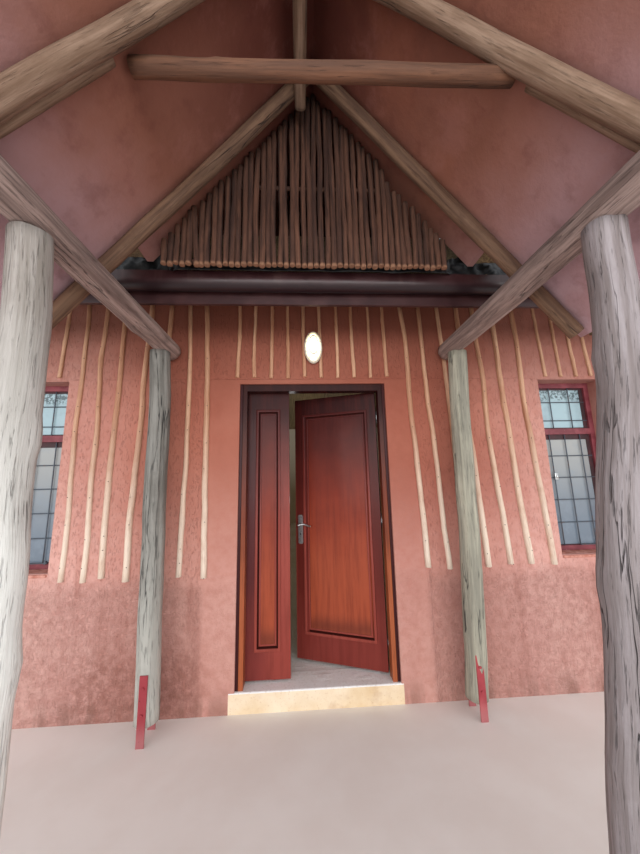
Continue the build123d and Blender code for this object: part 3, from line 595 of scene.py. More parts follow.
# Fascia boards close the rafter ends. They are planed softwood in the same dark aubergine gloss as the
# gutter, a little dusty along the bottom.
board_paint, place = new_finish("fascia_gloss")
dust_and_painted_daylight = place.noise(5.0, 6.0)
connect(board_paint, base_color=dust_and_painted_daylight.rising(0.4, 0.75).blended("33191B", "4A2C2C"),
        roughness=0.32 + dust_and_painted_daylight * 0.25, height=place.streaks(3.0, 60.0, 3.0) * 0.0008)
wear(node["fascia"], board_paint)

# The gutter is folded sheet with rounded lower corners and a rolled lip, hung on strap brackets in
# front of the fascia, with a sleeve over the joint in the middle of each side.
gutter_low, gutter_high = 2.7779, 2.8819
gutter_near, gutter_far = -apothem - 0.638, -apothem - 0.522
sleeve_over = 0.003
underside_shade = (2.79, 2.83)


def hollow_run(name, low, high, rounding, sheet):
    """A length of sheet bent to a trough: a box rounded below, opened on top and given its thickness."""
    piece = block(name, low, high)
    with editing(piece, edges=lambda a, b: abs(a.x - b.x) > 0.01 and a.z < (low[2] + high[2]) / 2):
        bpy.ops.mesh.bevel(offset=rounding, segments=6, affect="EDGES")
    with editing(piece, faces=lambda face: face.normal.z > 0.9 or abs(face.normal.x) > 0.9):
        bpy.ops.mesh.delete(type="FACE")

    def is_lip(a, b):
        return abs(a.x - b.x) > 0.01 and min(a.z, b.z) > high[2] - 0.001 and a.y < low[1] + 0.01

    with editing(piece, edges=is_lip):
        bpy.ops.mesh.extrude_edges_move(TRANSFORM_OT_translate={"value": (0, 0.013, 0)})
        bpy.ops.mesh.extrude_edges_move(TRANSFORM_OT_translate={"value": (0, 0, -0.008)})
    with editing(piece):
        bpy.ops.mesh.normals_make_consistent(inside=False)
    modified(piece, "SOLIDIFY", thickness=sheet, offset=-1.0)
    bpy.ops.object.shade_smooth_by_angle(angle=math.radians(40))
    return piece


run = hollow_run("run", (-3.3, gutter_near + sleeve_over, gutter_low + sleeve_over),
                 (3.3, gutter_far, gutter_high), 0.055, 0.0025)
for hand in (-1, 1):
    with editing(run):
        bpy.ops.mesh.bisect(
            plane_co=(0, 0, 0), plane_no=(hand * math.cos(turn_step / 2), math.sin(turn_step / 2), 0),
            clear_outer=True, use_fill=False)
sleeve = hollow_run("sleeve", (-0.05, gutter_near, gutter_low), (0.05, gutter_far, gutter_high - 0.001),
                    0.057, 0.003)
straps = []
for number in range(7):
    middle = -2.7 + number * 0.9
    strap = block("strap", (middle - 0.012, gutter_near + sleeve_over, gutter_high - 0.004),
                  (middle + 0.012, gutter_far, gutter_high - 0.001))
    straps.append(soften(strap, 0.0008, 1))
side_set = joined([run, sleeve, *straps], "side_set")
gutter = joined([copied(side_set, "gutter", Matrix.Rotation(turn_step * side, 4, "Z")) for side in range(6)],
                "bent_gutter")
bpy.data.objects.remove(side_set)
gloss, place = new_finish("gutter_gloss")
grime = place.noise(6.0, 6.0, 0.6)
drip = place.streaks(14.0, 0.8, 4.0)
tone = grime.rising(0.4, 0.72).blended("351A1D", "462A2C")
tone = tone.stained(drip.rising(0.55, 0.72) * 0.25, "5E4744")
# Painted shade: the rounded underside of the gutter is painted darker where it faces down.
tone = tone.stained(1 - place.axis("Z").rising(*underside_shade), "231318")
connect(gloss, base_color=tone, roughness=0.22 + grime * 0.3, height=place.streaks(2.0, 14.0, 2.0) * 0.003)
wear(gutter, gloss)
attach(gutter, "hut")
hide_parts("gutter_floor", "gutter_back", "gutter_front")

# Window frames are planed timber in oxblood paint, with the casement under a fixed top light, and are
# set back in the reveals. The paint has dulled on the sills and is chipped in places.
oxblood, place = new_finish("window_paint")
fade = place.noise(11.0, 5.0)
tone = fade.rising(0.35, 0.7).blended("6E2731", "8C434B")
tone = tone.stained(place.noise(60.0, 4.0).rising(0.68, 0.74) * 0.6, "A57F78")
connect(oxblood, base_color=tone, roughness=0.38 + fade * 0.25, height=place.streaks(70.0, 6.0, 3.0) * 0.0006)
for name in ("front_window_frames", "side_window_frames"):
    wear(node[name], oxblood)

# Behind each light, narrow dark strips stand along the inside of the frame, set back against the pane.
# They are painted shade, standing for the shadowed inner faces of the frame in the reveal.
shade_strip_face, shade_strip_back = wall_face + 0.139, wall_face + 0.147
shade_strip_parts = []
for low, high, rail in ((0.984, 1.908, 0.046), (1.952, 2.324, 0.020)):
    for left, right, foot, head in (
            (1.930, 1.950, low, high), (2.376, 2.420, low, high),
            (1.950, 2.376, high - rail, high), (1.950, 2.376, low, low + 0.014)):
        part = block("shade_strip", (left, shade_strip_face, foot), (right, shade_strip_back, head))
        shade_strip_parts.append(soften(part, 0.0015, 1))
shade_strips = at_windows(joined(shade_strip_parts, "shade_strip"), "reveal_shade_strips")
shaded, place = new_finish("reveal_shade_paint")
grime = place.noise(14.0, 5.0)
connect(shaded, base_color=grime.rising(0.4, 0.7).blended("32161B", "4A2228"), roughness=0.45 + grime * 0.3)
wear(shade_strips, shaded)
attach(shade_strips, "hut")

# Each light is glazed with one sheet of plain glass, bedded in putty. It is greyed with dust. A painted
# reflection of the sky makes the top lights bluer, and a painted reflection of leaves speckles their heads
# dark.
glass, place = new_finish("window_glass", coat=0.6)
up = place.axis("Z")
dust_and_painted_daylight = place.noise(9.0, 6.0, 0.6)
tone = up.rising(1.1, 1.9).blended("6C7A88", "A3A5A3")
# Painted reflection: the top lights are painted sky blue.
tone = tone.stained(up.rising(1.93, 1.96), "A5C0C8")
tone = tone.stained(dust_and_painted_daylight.rising(0.45, 0.75) * 0.4, "8493A0")
# Painted reflection: dark speckle along the heads of the top lights stands for leaves reflected in the glass.
painted_leaf_reflection = (up + dust_and_painted_daylight * 0.10).rising(2.25, 2.29) * place.noise(48.0, 5.0, 0.7).rising(0.46, 0.54)
tone = tone.stained(painted_leaf_reflection * 0.75, "2C3A3C")
connect(glass, base_color=tone, roughness=0.05 + dust_and_painted_daylight * 0.2)
for name in ("front_window_glass", "side_window_glass"):
    wear(node[name], glass)

# Burglar bars guard the windows: thin round steel rods, welded into a grid in front of the panes and
# let into the frame, with rust coming through the paint.
rod_blank = blank_pole(8, 6)
rod_radius = 0.0042
bar_depth = wall_face + 0.131
bars = []
for offsets, low, high in (((-0.1375, 0.0, 0.1375), 0.990, 1.907), ((-0.0850, 0.0900), 1.953, 2.320)):
    for offset in offsets:
        x = window_middle + offset
        bars.append(pole("bar", rod_blank, (x, bar_depth, low), (x, bar_depth, high),
                         rod_radius, rod_radius, 1, 0.0, 0.01))
for z in (1.172, 1.355, 1.538, 1.721, 2.028, 2.192):
    bars.append(pole("bar", rod_blank, (1.940, bar_depth + 0.007, z), (2.410, bar_depth + 0.007, z),
                     rod_radius, rod_radius, 2, 0.0, 0.01))
grid = at_windows(joined(bars, "grid"), "window_bars")
steel, place = new_finish("bar_paint")
rust = place.noise(40.0, 5.0)
connect(steel, base_color=rust.rising(0.5, 0.75).blended("4B5560", "5E4A42"), roughness=0.4 + rust * 0.3)
wear(grid, steel)
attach(grid, "hut")

# Casement furniture: a nickelled pull is screwed to the stile, and a painted steel stay lies along the
# bottom rail with its peg up.
pull = soften(block("pull", (2.030, wall_face + 0.117, 1.520), (2.058, wall_face + 0.1215, 1.575)), 0.0015)
knob = soften(block("knob", (2.036, wall_face + 0.108, 1.538), (2.052, wall_face + 0.118, 1.556)), 0.003, 3)
pulls = at_windows(joined([pull, knob], "pull"), "casement_pulls")
plated, place = new_finish("nickel_plate", metallic=1.0)
scuff = place.noise(90.0, 4.0)
connect(plated, base_color=scuff.rising(0.4, 0.7).blended("C9CBCB", "9C9D9B"), roughness=0.2 + scuff * 0.3)
wear(pulls, plated)
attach(pulls, "hut")
stay = soften(block("stay", (2.16, wall_face + 0.104, 0.996), (2.36, wall_face + 0.112, 1.002)), 0.001)
peg = soften(block("peg", (2.335, wall_face + 0.104, 0.990), (2.352, wall_face + 0.121, 1.016)), 0.003, 3)
stays = at_windows(joined([stay, peg], "stay"), "casement_stays")
wear(stays, steel)
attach(stays, "hut")

# The door frame and leaves are framed hardwood with one long sunk panel, varnished a deep red brown
# that is paler and more orange low down and darker towards the head, with a dark tide mark along the bottom.
panel_low, panel_high, panel_rim = 0.350, 2.124, 0.012
panels_seen = ((-0.0532, 0.4549), (-0.448, -0.292))
frame_joint = 0.5645


def varnish(name):
    """Varnished hardwood with its grain upright: what its leaves and frame share."""
    material, place = new_finish(name, coat=0.07, coat_roughness=0.12, specular=0.15)
    lift = place.axis("Z") + (place.noise(4.0, 5.0) - 0.5) * 0.5
    figure = place.streaks(38.0, 2.4, 5.0, 0.6)
    pores = place.streaks(230.0, 9.0, 2.0)
    return material, place, lift, figure, pores


def between(value, low, high, soft=0.003):
    """1 between two values and 0 outside them."""
    return value.rising(low - soft, low + soft) * (1 - value.rising(high - soft, high + soft))


leaf_varnish, place, lift, figure, pores = varnish("leaf_varnish")
across, up = place.axis("X"), place.axis("Z")
stiles = across.rising(-0.47, -0.30).blended("5A2527", "98463C")
stiles = stiles.stained(across.rising(-0.17, -0.14), "66251F")
stiles = stiles.stained(lift.rising(0.9, 2.3), "2E0D0D")
stiles = stiles.stained((1 - lift.rising(0.2, 0.9)) * 0.6, "8C3C34")
beds = lift.rising(0.7, 1.5).blended("A24C32", "873220")
beds = beds.stained(lift.rising(1.1, 2.25), "3C100E")
panel, rim = 0, 0
for left, right in panels_seen:
    rim = between(across, left, right) * between(up, panel_low, panel_high) + rim
    panel = (between(across, left + panel_rim, right - panel_rim)
             * between(up, panel_low + panel_rim, panel_high - panel_rim) + panel)
tone = stiles.stained(rim, "2E100E")
tone = tone.stained(panel, beds)
tone = tone.stained(figure.rising(0.4, 0.7) * 0.35, "5A1F18")
tide = up + place.streaks(5.0, 1.0, 4.0) * 0.16
mark = (1 - tide.rising(0.47, 0.60)) * (tide.rising(0.38, 0.50) * 0.35 + 0.2)
connect(leaf_varnish, base_color=tone.stained(mark * panel, "4A2320"), roughness=0.28 + pores * 0.2,
        height=figure * 0.0007 + pores * 0.0003)
for name in ("door_leaf", "side_leaf"):
    wear(node[name], leaf_varnish)

frame_varnish, place, lift, figure, pores = varnish("frame_varnish")
width = abs(place.axis("X"))
reveal = lift.rising(0.6, 1.5).blended("A85C3A", "743624")
reveal = reveal.stained(lift.rising(1.3, 2.2), "2C0F0E")
tone = reveal.stained(width.rising(frame_joint - 0.0025, frame_joint + 0.0025), "3C181B")
tone = tone.stained(figure.rising(0.4, 0.7) * 0.35, "4A1D16")
groove = 1 - abs(width - frame_joint).rising(0.0, 0.004)
connect(frame_varnish, base_color=tone.stained(groove * 0.7, "1E0C0B"), roughness=0.28 + pores * 0.2,
        height=figure * 0.0007 - groove * 0.003)
wear(node["door_frame"], frame_varnish)

# A raised moulding is pinned round each panel on both faces of both leaves, with a thinner bead inside
# it on the bed of the panel.
ajar = math.radians(22)
pin = Vector((0.5425, -apothem + 0.156, 0))
leaf_x = Vector((-math.cos(ajar), math.sin(ajar), 0))
leaf_in = Vector((math.sin(ajar), math.cos(ajar), 0))
main_leaf = Matrix((
    (leaf_x.x, leaf_in.x, 0, pin.x), (leaf_x.y, leaf_in.y, 0, pin.y), (0, 0, 1, 0), (0, 0, 0, 1)))
thin_leaf = Matrix(((1, 0, 0, -pin.x), (0, 1, 0, pin.y), (0, 0, 1, 0), (0, 0, 0, 1)))
leaf_gap, main_width, thin_width = 0.0025, 0.732, 0.340
leaf_faces = ((-0.0508, -1), (-0.0072, 1))
mouldings = ((0.020, 0.020, 0.0085, 0.0), (-0.013, 0.013, 0.0060, 0.0130))


def bead(left, right, bottom, top, wide, high, face, hand):
    """A rounded moulding round a rectangle, on a face that looks towards hand."""
    piece = started("bead", bpy.ops.mesh.primitive_plane_add, (right - left, top - bottom, 1), size=1.0,
                    location=((left + right) / 2, face, (bottom + top) / 2),
                    rotation=(math.radians(90) * -hand, 0, 0))
    with editing(piece, faces=lambda face: True):
        bpy.ops.mesh.inset(thickness=wide)
        bpy.ops.mesh.delete(type="FACE")
    with editing(piece, faces=lambda face: True):
        bpy.ops.mesh.extrude_region_move(TRANSFORM_OT_translate={"value": (0, hand * high, 0)})
    return soften(piece, min(wide, high) * 0.45, 3)


bead_varnish, _, lift, figure, pores = varnish("bead_varnish")
tone = lift.rising(0.9, 1.8).blended("94443A", "6E2A24")
tone = tone.stained(lift.rising(1.3, 2.3), "441A19")
connect(bead_varnish, base_color=tone.stained(figure.rising(0.4, 0.7) * 0.3, "5A1F18"),
        roughness=0.25 + pores * 0.2)
for body, on_leaf, width in (("door_leaf", main_leaf, main_width), ("side_leaf", thin_leaf, thin_width)):
    round_panels = []
    left, right = 0.0945, leaf_gap + width - 0.092
    for face, hand in leaf_faces:
        for out, wide, high, sunk in mouldings:
            made = bead(left - out, right + out, panel_low - out, panel_high + out, wide, high,
                        face - hand * sunk, hand)
            made.data.transform(on_leaf)
            if body == "door_leaf":
                with editing(made):
                    bpy.ops.mesh.normals_make_consistent(inside=False)
            round_panels.append(made)
    beads = joined(round_panels, body + "_beads")
    wear(beads, bead_varnish)
    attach(beads, body)

# Butt hinges, lock plates and the lever are plated steel. The lever is drawn down to a curve that lies
# along the leaf, and the lock plate has a keyhole under it.
chrome, place = new_finish("dulled_chrome", metallic=1.0)
scuff = place.noise(70.0, 5.0)
connect(chrome, base_color=scuff.rising(0.35, 0.7).blended("F0F1F2", "C4C6C9"), roughness=0.25 + scuff * 0.25)
for name in ("frame_hinges", "door_leaf_hinges", "side_leaf_hinges", "lock_plates"):
    wear(node[name], chrome)

spindle_x, spindle_z = leaf_gap + main_width - 0.044, 1.188
grip_length = 0.106
keyhole_z = 1.110
round_parts = (("neck", -0.02, 0.044, 0.0085, 0.0085), ("rose", -0.001, 0.007, 0.014, 0.0125))
lever_parts = []
for face, hand in ((-0.055, -1), (-0.003, 1)):
    for name, near, far, butt, tip in round_parts:
        lever_parts.append(pole(name, rod_blank, (spindle_x, face + hand * near, spindle_z),
                                (spindle_x, face + hand * far, spindle_z), butt, tip, 3, 0, 0))
    grip = pole("grip", rafter_blank, (spindle_x + 0.009, face + hand * 0.042, spindle_z),
                (spindle_x - grip_length, face + hand * 0.042, spindle_z), 0.0088, 0.0062, 3, 0, 0)
    for point in grip.data.vertices:
        share = max((spindle_x - point.co.x) / grip_length, 0)
        point.co.y -= hand * 0.010 * math.sin(share * math.pi * 0.9)
        point.co.z += 0.007 * math.sin(share * math.pi * 1.6)
    lever_parts.append(grip)
lever = joined(lever_parts, "curved_lever")
lever.data.transform(main_leaf)
wear(lever, chrome)
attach(lever, "lever")
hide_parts("lever_handle")
# The keyhole is a thin dark disc on each face of the leaf: painted shade standing for the hole into the lock.
rims = [pole("rim", rod_blank, (spindle_x, face, keyhole_z), (spindle_x, face + hand * 0.0016, keyhole_z),
             0.0062, 0.0056, 4, 0, 0) for face, hand in ((-0.0552, -1), (-0.0028, 1))]
keyhole = joined(rims, "keyhole_rims")
keyhole.data.transform(main_leaf)
keyhole_shade, place = new_finish("keyhole_shade", roughness=0.5, metallic=0.6)
connect(keyhole_shade, base_color=place.noise(200.0, 3.0).rising(0.4, 0.7).blended("241F1D", "3D3630"))
wear(keyhole, keyhole_shade)
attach(keyhole, "door_leaf")

# Half-buried in the plaster stand thin peeled poles, nailed back while it was wet: long ones between
# the openings, short ones over the door and the windows. No two are alike.
stick_blank = blank_pole(9, 21)
long_foot, short_foot, eaves = 0.880, 2.376, 3.03
short_step = 0.135
front_long = (
    (-1.804, -1.808), (-1.653, -1.651), (-1.529, -1.511), (-1.360, -1.307), (-1.180, -1.150),
    (-0.994, -1.005), (-0.817, -0.872), (0.837, 0.752), (1.002, 0.912), (1.160, 1.075),
    (1.303, 1.250), (1.479, 1.388), (1.641, 1.550), (1.824, 1.735),
)
over_windows = [hand * window_middle + (turn - 1.5) * short_step for hand in (-1, 1) for turn in range(4)]
over_door = [(turn - 4.5) * short_step for turn in range(10)]


def planted(side, foot, head, low, girth, seed, bend):
    """One peeled pole against a wall, from a height up to the eaves."""
    sink = wall_face - 0.004
    knots = [(rng.uniform(0.1, 0.9) * (eaves - low), rng.uniform(0, 6.3), girth * 0.25, girth * 1.2)
             for _ in range(4)]
    made = pole("peeled", stick_blank, (foot, sink, low), (head, sink, eaves), girth * 1.02, girth * 0.82,
                seed, bend, 0.08, knots, 0.12)
    made.data.transform(Matrix.Rotation(turn_step * side, 4, "Z"))
    return made


def long_pole(side, foot, head, seed):
    """A pole from sill height to the eaves."""
    low = long_foot + rng.uniform(0, 0.03)
    return planted(side, foot, head, low, rng.uniform(0.0180, 0.0235), seed, 0.030)


def short_pole(side, x, seed):
    """A pole over the door or a window."""
    lean = rng.uniform(-0.015, 0.010) - x * 0.010
    low = short_foot + rng.uniform(0, 0.014)
    return planted(side, x, x + lean, low, rng.uniform(0.0135, 0.0170), seed, 0.022)


front_set = [long_pole(0, foot, head, number + 2) for number, (foot, head) in enumerate(front_long)]
front_set += [short_pole(0, x, number + 40) for number, x in enumerate(over_door + over_windows)]
front_poles = joined(front_set, "front_peeled_poles")
side_set = []
for side in range(1, 6):
    for number in range(22):
        x = -1.816 + number * 3.632 / 21
        side_set.append(long_pole(side, x, x + rng.uniform(-0.06, 0.02), side * 50 + number))
    side_set += [short_pole(side, x, side * 50 + 30 + number) for number, x in enumerate(over_windows)]
side_poles = joined(side_set, "side_peeled_poles")
# The peeled poles are painted cream low down and darker and more orange towards the eaves: painted daylight
# below, painted shade under the gutter.
peeled = timber("peeled_pole", "D8AC8C", "B07B5C", "6E3F2D", 0.1, 0.55, 0.6, 0.22, ("EBD9C6", 0.9, 2.2))
for poles, replaced in ((front_poles, "front_wall_poles"), (side_poles, "side_wall_poles")):
    wear(poles, peeled)
    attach(poles, "hut")
    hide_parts(replaced)

# Round wire nails hold the long poles of the front to the wall, six to each. Their heads are sunk into
# the wood and have rusted black.
nails = []
nail_blank = blank_pole(6, 1)
front_points = [point.co for point in front_poles.data.vertices]
for foot, head in front_long:
    for height in (1.00, 1.20, 1.55, 1.92, 2.20, 2.60):
        z = height + rng.uniform(-0.10, 0.10)
        x = foot + (head - foot) * (z - long_foot) / (eaves - long_foot)
        near = [spot for spot in front_points if abs(spot.x - x) < 0.04 and abs(spot.z - z) < 0.06]
        spot = min(near, key=lambda other: other.y)
        nails.append(pole("nail", nail_blank, spot + Vector((0, 0.003, 0)), spot - Vector((0, 0.0015, 0)),
                          0.0036, 0.0030, 1))
nail_heads = joined(nails, "nail_heads")
rusty, place = new_finish("rusted_nail", roughness=0.7, metallic=0.4)
connect(rusty, base_color=place.noise(150.0, 3.0).rising(0.4, 0.7).blended("2A1D18", "4A3026"))
wear(nail_heads, rusty)
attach(nail_heads, "hut")

# The gable over the gutter is a screen of thin sticks with the bark on, nailed side by side to two
# rails, with their tops cut to the slope of the lining and pale cut ends at the foot.
porch_peak = 4.155
gable_front = -apothem - 0.745
stick_count, stick_step, stick_foot, screen_middle = 48, 0.0364, 2.835, -0.050
gap_at = 5
gable_set = []
for number in range(stick_count):
    x = screen_middle + (number - (stick_count - 1) / 2) * stick_step
    slack = rng.uniform(0.004, 0.030) + 0.10 * max(0.0, min(1.0, (x - 0.42) / 0.06))
    top = porch_peak - (abs(x) + 0.017) * porch_fall - slack
    lean = rng.uniform(-0.006, 0.006) + (0.016 if number == gap_at else 0.0)
    girth = rng.uniform(0.0160, 0.0186)
    foot = stick_foot + rng.uniform(0.0, 0.012)
    knots = [(rng.uniform(0.1, 0.9) * (top - foot), rng.uniform(0, 6.3), 0.004, 0.022) for _ in range(3)]
    spot = gable_front + rng.uniform(-0.003, 0.003)
    foot_x = x + (0.012 if number == gap_at else 0.0)
    gable_set.append(pole("stick", stick_blank, (foot_x, spot, foot), (x - lean, spot, top),
                          girth, girth * 0.94, number + 300, 0.020, 0.12, knots, 0.3))
rail_line = gable_front + 0.026
for level, left, right in ((2.880, -0.91, 0.80), (3.414, -0.52, 0.44)):
    gable_set.append(pole("rail", rafter_blank, (left, rail_line, level), (right, rail_line, level),
                          0.014, 0.013, int(level * 10), 0.003))
gable = joined(gable_set, "gable_screen")
wear(gable, timber("gable_bark", "6B4736", "39221A", "1A0F0B", 0.4, 0.85, 1.6, 0.4, ("8F6850", 2.845, 2.862)))
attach(gable, "hut")
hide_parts("gable_sticks")

# Porch frame: four planted posts, two side beams notched on to them, two pairs of rafters, thin poles
# that carry the front pair down to the eaves, a tie log and a ridge pole. Each log is listed with its
# blank, its ends, its thickness at both, its seed, bend and lumps, and its knots.
fall_length = math.hypot(1.0, porch_fall)
rafter_top = porch_peak - 0.0433 * fall_length
splice_top = porch_peak - 0.0303 * fall_length
left_tail, right_tail = -1.405, 1.440


def porch(x, front, z):
    """A point of the porch, by its distance in front of the wall face."""
    return (x, -apothem - front, z)


def beside(x, apex, foot, tail):
    """A point of a splice, 50 mm behind its rafter and against the lining."""
    return porch(x, apex + (foot - apex) * x / tail - 0.050, splice_top - abs(x) * porch_fall)


def from_ridge(x, front):
    """The upper end of a rafter, beside the ridge."""
    return porch(x, front, rafter_top - 0.012)


def down_to(tail, front):
    """The lower end of a rafter against the lining."""
    return porch(tail, front, rafter_top - abs(tail) * porch_fall)


frame_logs = {
    "left_front_post": (
        post_blank, porch(-1.020, 1.370, 0.100), porch(-1.115, 1.370, 2.494), 0.075, 0.070, 5, 0.030, 0.06,
        [(1.62, 0.3, 0.012, 0.05), (0.9, 0.6, 0.010, 0.06), (2.1, 3.0, 0.006, 0.04)]),
    "right_front_post": (
        post_blank, porch(0.808, 1.450, 0.100), porch(1.110, 1.450, 2.515), 0.075, 0.071, 9, 0.024, 0.07,
        [(1.1, 3.0, 0.010, 0.06), (1.9, 2.4, 0.010, 0.05), (0.6, 3.4, 0.009, 0.05)]),
    "left_inner_post": (
        post_blank, porch(-1.090, 0.160, 0.100), porch(-1.135, 0.200, 2.518), 0.073, 0.069, 14, 0.020, 0.06,
        [(2.1, 1.0, 0.006, 0.04)]),
    "right_inner_post": (
        post_blank, porch(1.055, 0.135, 0.100), porch(1.120, 0.200, 2.518), 0.073, 0.069, 21, 0.016, 0.06,
        [(0.8, 5.0, 0.006, 0.04)]),
    "left_beam": (
        post_blank, porch(-1.115, 0.050, 2.585), porch(-1.115, 1.760, 2.562), 0.072, 0.071, 31, 0.010, 0.07,
        [(0.5, 4.0, 0.008, 0.04)]),
    "right_beam": (
        post_blank, porch(1.110, 0.050, 2.585), porch(1.110, 1.760, 2.578), 0.073, 0.071, 35, 0.010, 0.07,
        [(0.9, 4.4, 0.008, 0.04)]),
    "left_front_rafter": (
        post_blank, from_ridge(-0.01, 1.461), down_to(left_tail, 1.650), 0.041, 0.044, 41, 0.008, 0.05,
        [(0.7, 4.4, 0.005, 0.03), (1.4, 3.4, 0.005, 0.03)]),
    "right_front_rafter": (
        post_blank, from_ridge(0.01, 1.353), down_to(right_tail, 1.745), 0.041, 0.044, 47, 0.008, 0.05,
        [(0.9, 1.4, 0.005, 0.03), (1.6, 2.4, 0.005, 0.03)]),
    "left_splice": (
        rafter_blank, beside(-0.80, 1.460, 1.650, left_tail), beside(left_tail, 1.460, 1.650, left_tail),
        0.029, 0.030, 51, 0.005, 0.05),
    "right_splice": (
        rafter_blank, beside(0.83, 1.350, 1.745, right_tail), beside(right_tail, 1.350, 1.745, right_tail),
        0.029, 0.030, 53, 0.005, 0.05),
    "left_back_rafter": (
        post_blank, from_ridge(-0.01, 0.910), down_to(left_tail, 0.910), 0.042, 0.040, 57, 0.008, 0.05,
        [(1.1, 4.4, 0.005, 0.03)]),
    "right_back_rafter": (
        post_blank, from_ridge(0.01, 0.910), down_to(right_tail, 0.910), 0.042, 0.040, 61, 0.008, 0.05,
        [(1.0, 4.4, 0.005, 0.03)]),
    "tie_log": (
        post_blank, porch(-0.756, 1.448, 3.196), porch(0.780, 1.505, 3.155), 0.035, 0.034, 67, 0.006, 0.06,
        [(0.35, 4.0, 0.004, 0.025), (0.8, 5.0, 0.004, 0.02)]),
    "ridge_pole": (
        post_blank, porch(-0.080, 0.850, 3.880), porch(-0.080, 1.940, 3.880), 0.035, 0.038, 71, 0.006, 0.06),
}
logs = {name: pole(name + "_log", *shape) for name, shape in frame_logs.items()}
finishes = {
    # The pale and grey posts are painted paler low down: painted daylight from the open side of the porch.
    "left_front_post": timber("pale_post", "B3ADA8", "8D867E", "4A4540", 0.7, 0.85, 1.8, 0.42,
                              ("F4F5F0", 0.7, 2.4)),
    "right_front_post": timber("split_post", "ADA5A8", "857B7A", "2E2A2A", 1.0, 0.85, 1.8, 0.6),
    "left_inner_post": timber("grey_post", "989690", "6C6963", "242627", 1.0, 0.85, 1.8, 0.5,
                              ("B9B8B0", 0.2, 1.7)),
    "right_inner_post": timber("silver_post", "BDB9A6", "8C897C", "2B2F31", 1.0, 0.85, 1.6, 0.5),
    "left_beam": timber("brown_beam", "B9A39B", "7C6963", "3A2C28", 0.9, 0.85, 1.6, 0.5),
    "tie_log": timber("dark_tie", "80573F", "573A2B", "241712", 0.7, 0.8, 1.3, 0.4),
    "left_front_rafter": timber("dun_rafter", "A48A76", "725845", "38271F", 0.6, 0.8, 1.2, 0.4),
    "back_rafters": timber("brown_rafter", "8A6C55", "5B4233", "281A14", 0.6, 0.8, 1.2, 0.4),
}
finishes["right_beam"] = finishes["left_beam"]
joined_logs = {
    "rafter_splice_logs": (("left_splice", "right_splice"), "rafter_splices"),
    "back_rafter_logs": (("left_back_rafter", "right_back_rafter"), "back_rafters"),
}
for name, (members, replaced) in joined_logs.items():
    logs[replaced] = joined([logs.pop(member) for member in members], name)
for name, log in logs.items():
    wear(log, finishes.get(name, finishes["left_front_rafter"]))
    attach(log, "hut")
    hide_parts(name)

# The lining under the porch thatch is board skimmed with the same earth plaster, with rubbed orange patches
# near the ridge.
# It is painted dark in the middle as painted shade, and paler and purplish towards the open edges as painted
# daylight.
lining, place = new_finish("lining_painted_light")
light_and_stain_blotches = place.noise(1.6, 6.0, 0.6)
mottle = place.noise(8.0, 5.0, 0.6)
trowel = place.noise(3.1, 6.0, 0.7)
# Painted light: dark shade across the middle, paler and purplish daylight towards the open sides.
spread = abs(place.axis("X")) + (light_and_stain_blotches - 0.5) * 0.5
tone = spread.rising(0.0, 0.95).blended("5E2B20", "93604F")
tone = tone.stained(spread.rising(0.75, 1.5), "C6A8B2")
tone = tone.stained(light_and_stain_blotches.rising(0.50, 0.68) * 0.35, "9A5C43")
tone = tone.stained(mottle.rising(0.5, 0.72) * 0.30, "63302A")
tone = tone.stained(trowel.rising(0.52, 0.70) * 0.30, "A9736A")
connect(lining, base_color=tone, roughness=0.75 + mottle * 0.2,
        height=mottle * 0.003 + trowel * 0.006 + place.noise(60.0, 3.0) * 0.0008)
for name in ("porch_lining_left", "porch_lining_right"):
    wear(node[name], lining)

# A strip of black roofing membrane laps from the eave into the gutter behind the gable screen. Past the
# screen it stands up over the gutter in torn and crumpled flaps.
strip_reach, flaps_from = 1.42, 0.86
strip_front, flap_front = 0.665, 0.600
membrane = started("membrane_strip", bpy.ops.mesh.primitive_grid_add, x_subdivisions=200, y_subdivisions=10,
                   size=1.0, location=(0, 0, 0))
for point in membrane.data.vertices:
    x, rise = point.co.x * 2 * strip_reach, point.co.y + 0.5
    flap = max(0.0, min(1.0, (abs(x) - flaps_from) / 0.08))
    front_of = strip_front + (flap_front - strip_front) * flap
    low = 2.868 + 0.016 * flap + 0.010 * noise.noise(Vector((x * 5.0, 1.0, 1.0)))
    top = 2.945 + flap * (0.10 + 0.05 * noise.noise(Vector((x * 11.0, 7.0, 1.0))))
    crumple = noise.noise(Vector((x * (9.0 + 8.0 * flap), rise * 3.0, 3.0)))
    ripple = (0.010 + 0.030 * flap) * crumple
    point.co = Vector((x, -apothem - front_of - ripple, low + (top - low) * rise))
modified(membrane, "SOLIDIFY", thickness=0.002)
bpy.ops.object.shade_smooth()
bitumen, place = new_finish("black_membrane")
crease = place.noise(24.0, 5.0)
connect(bitumen, base_color=crease.rising(0.45, 0.75).blended("141518", "33373B"),
        roughness=0.35 + crease * 0.3, height=crease * 0.004)
wear(membrane, bitumen)
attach(membrane, "hut")

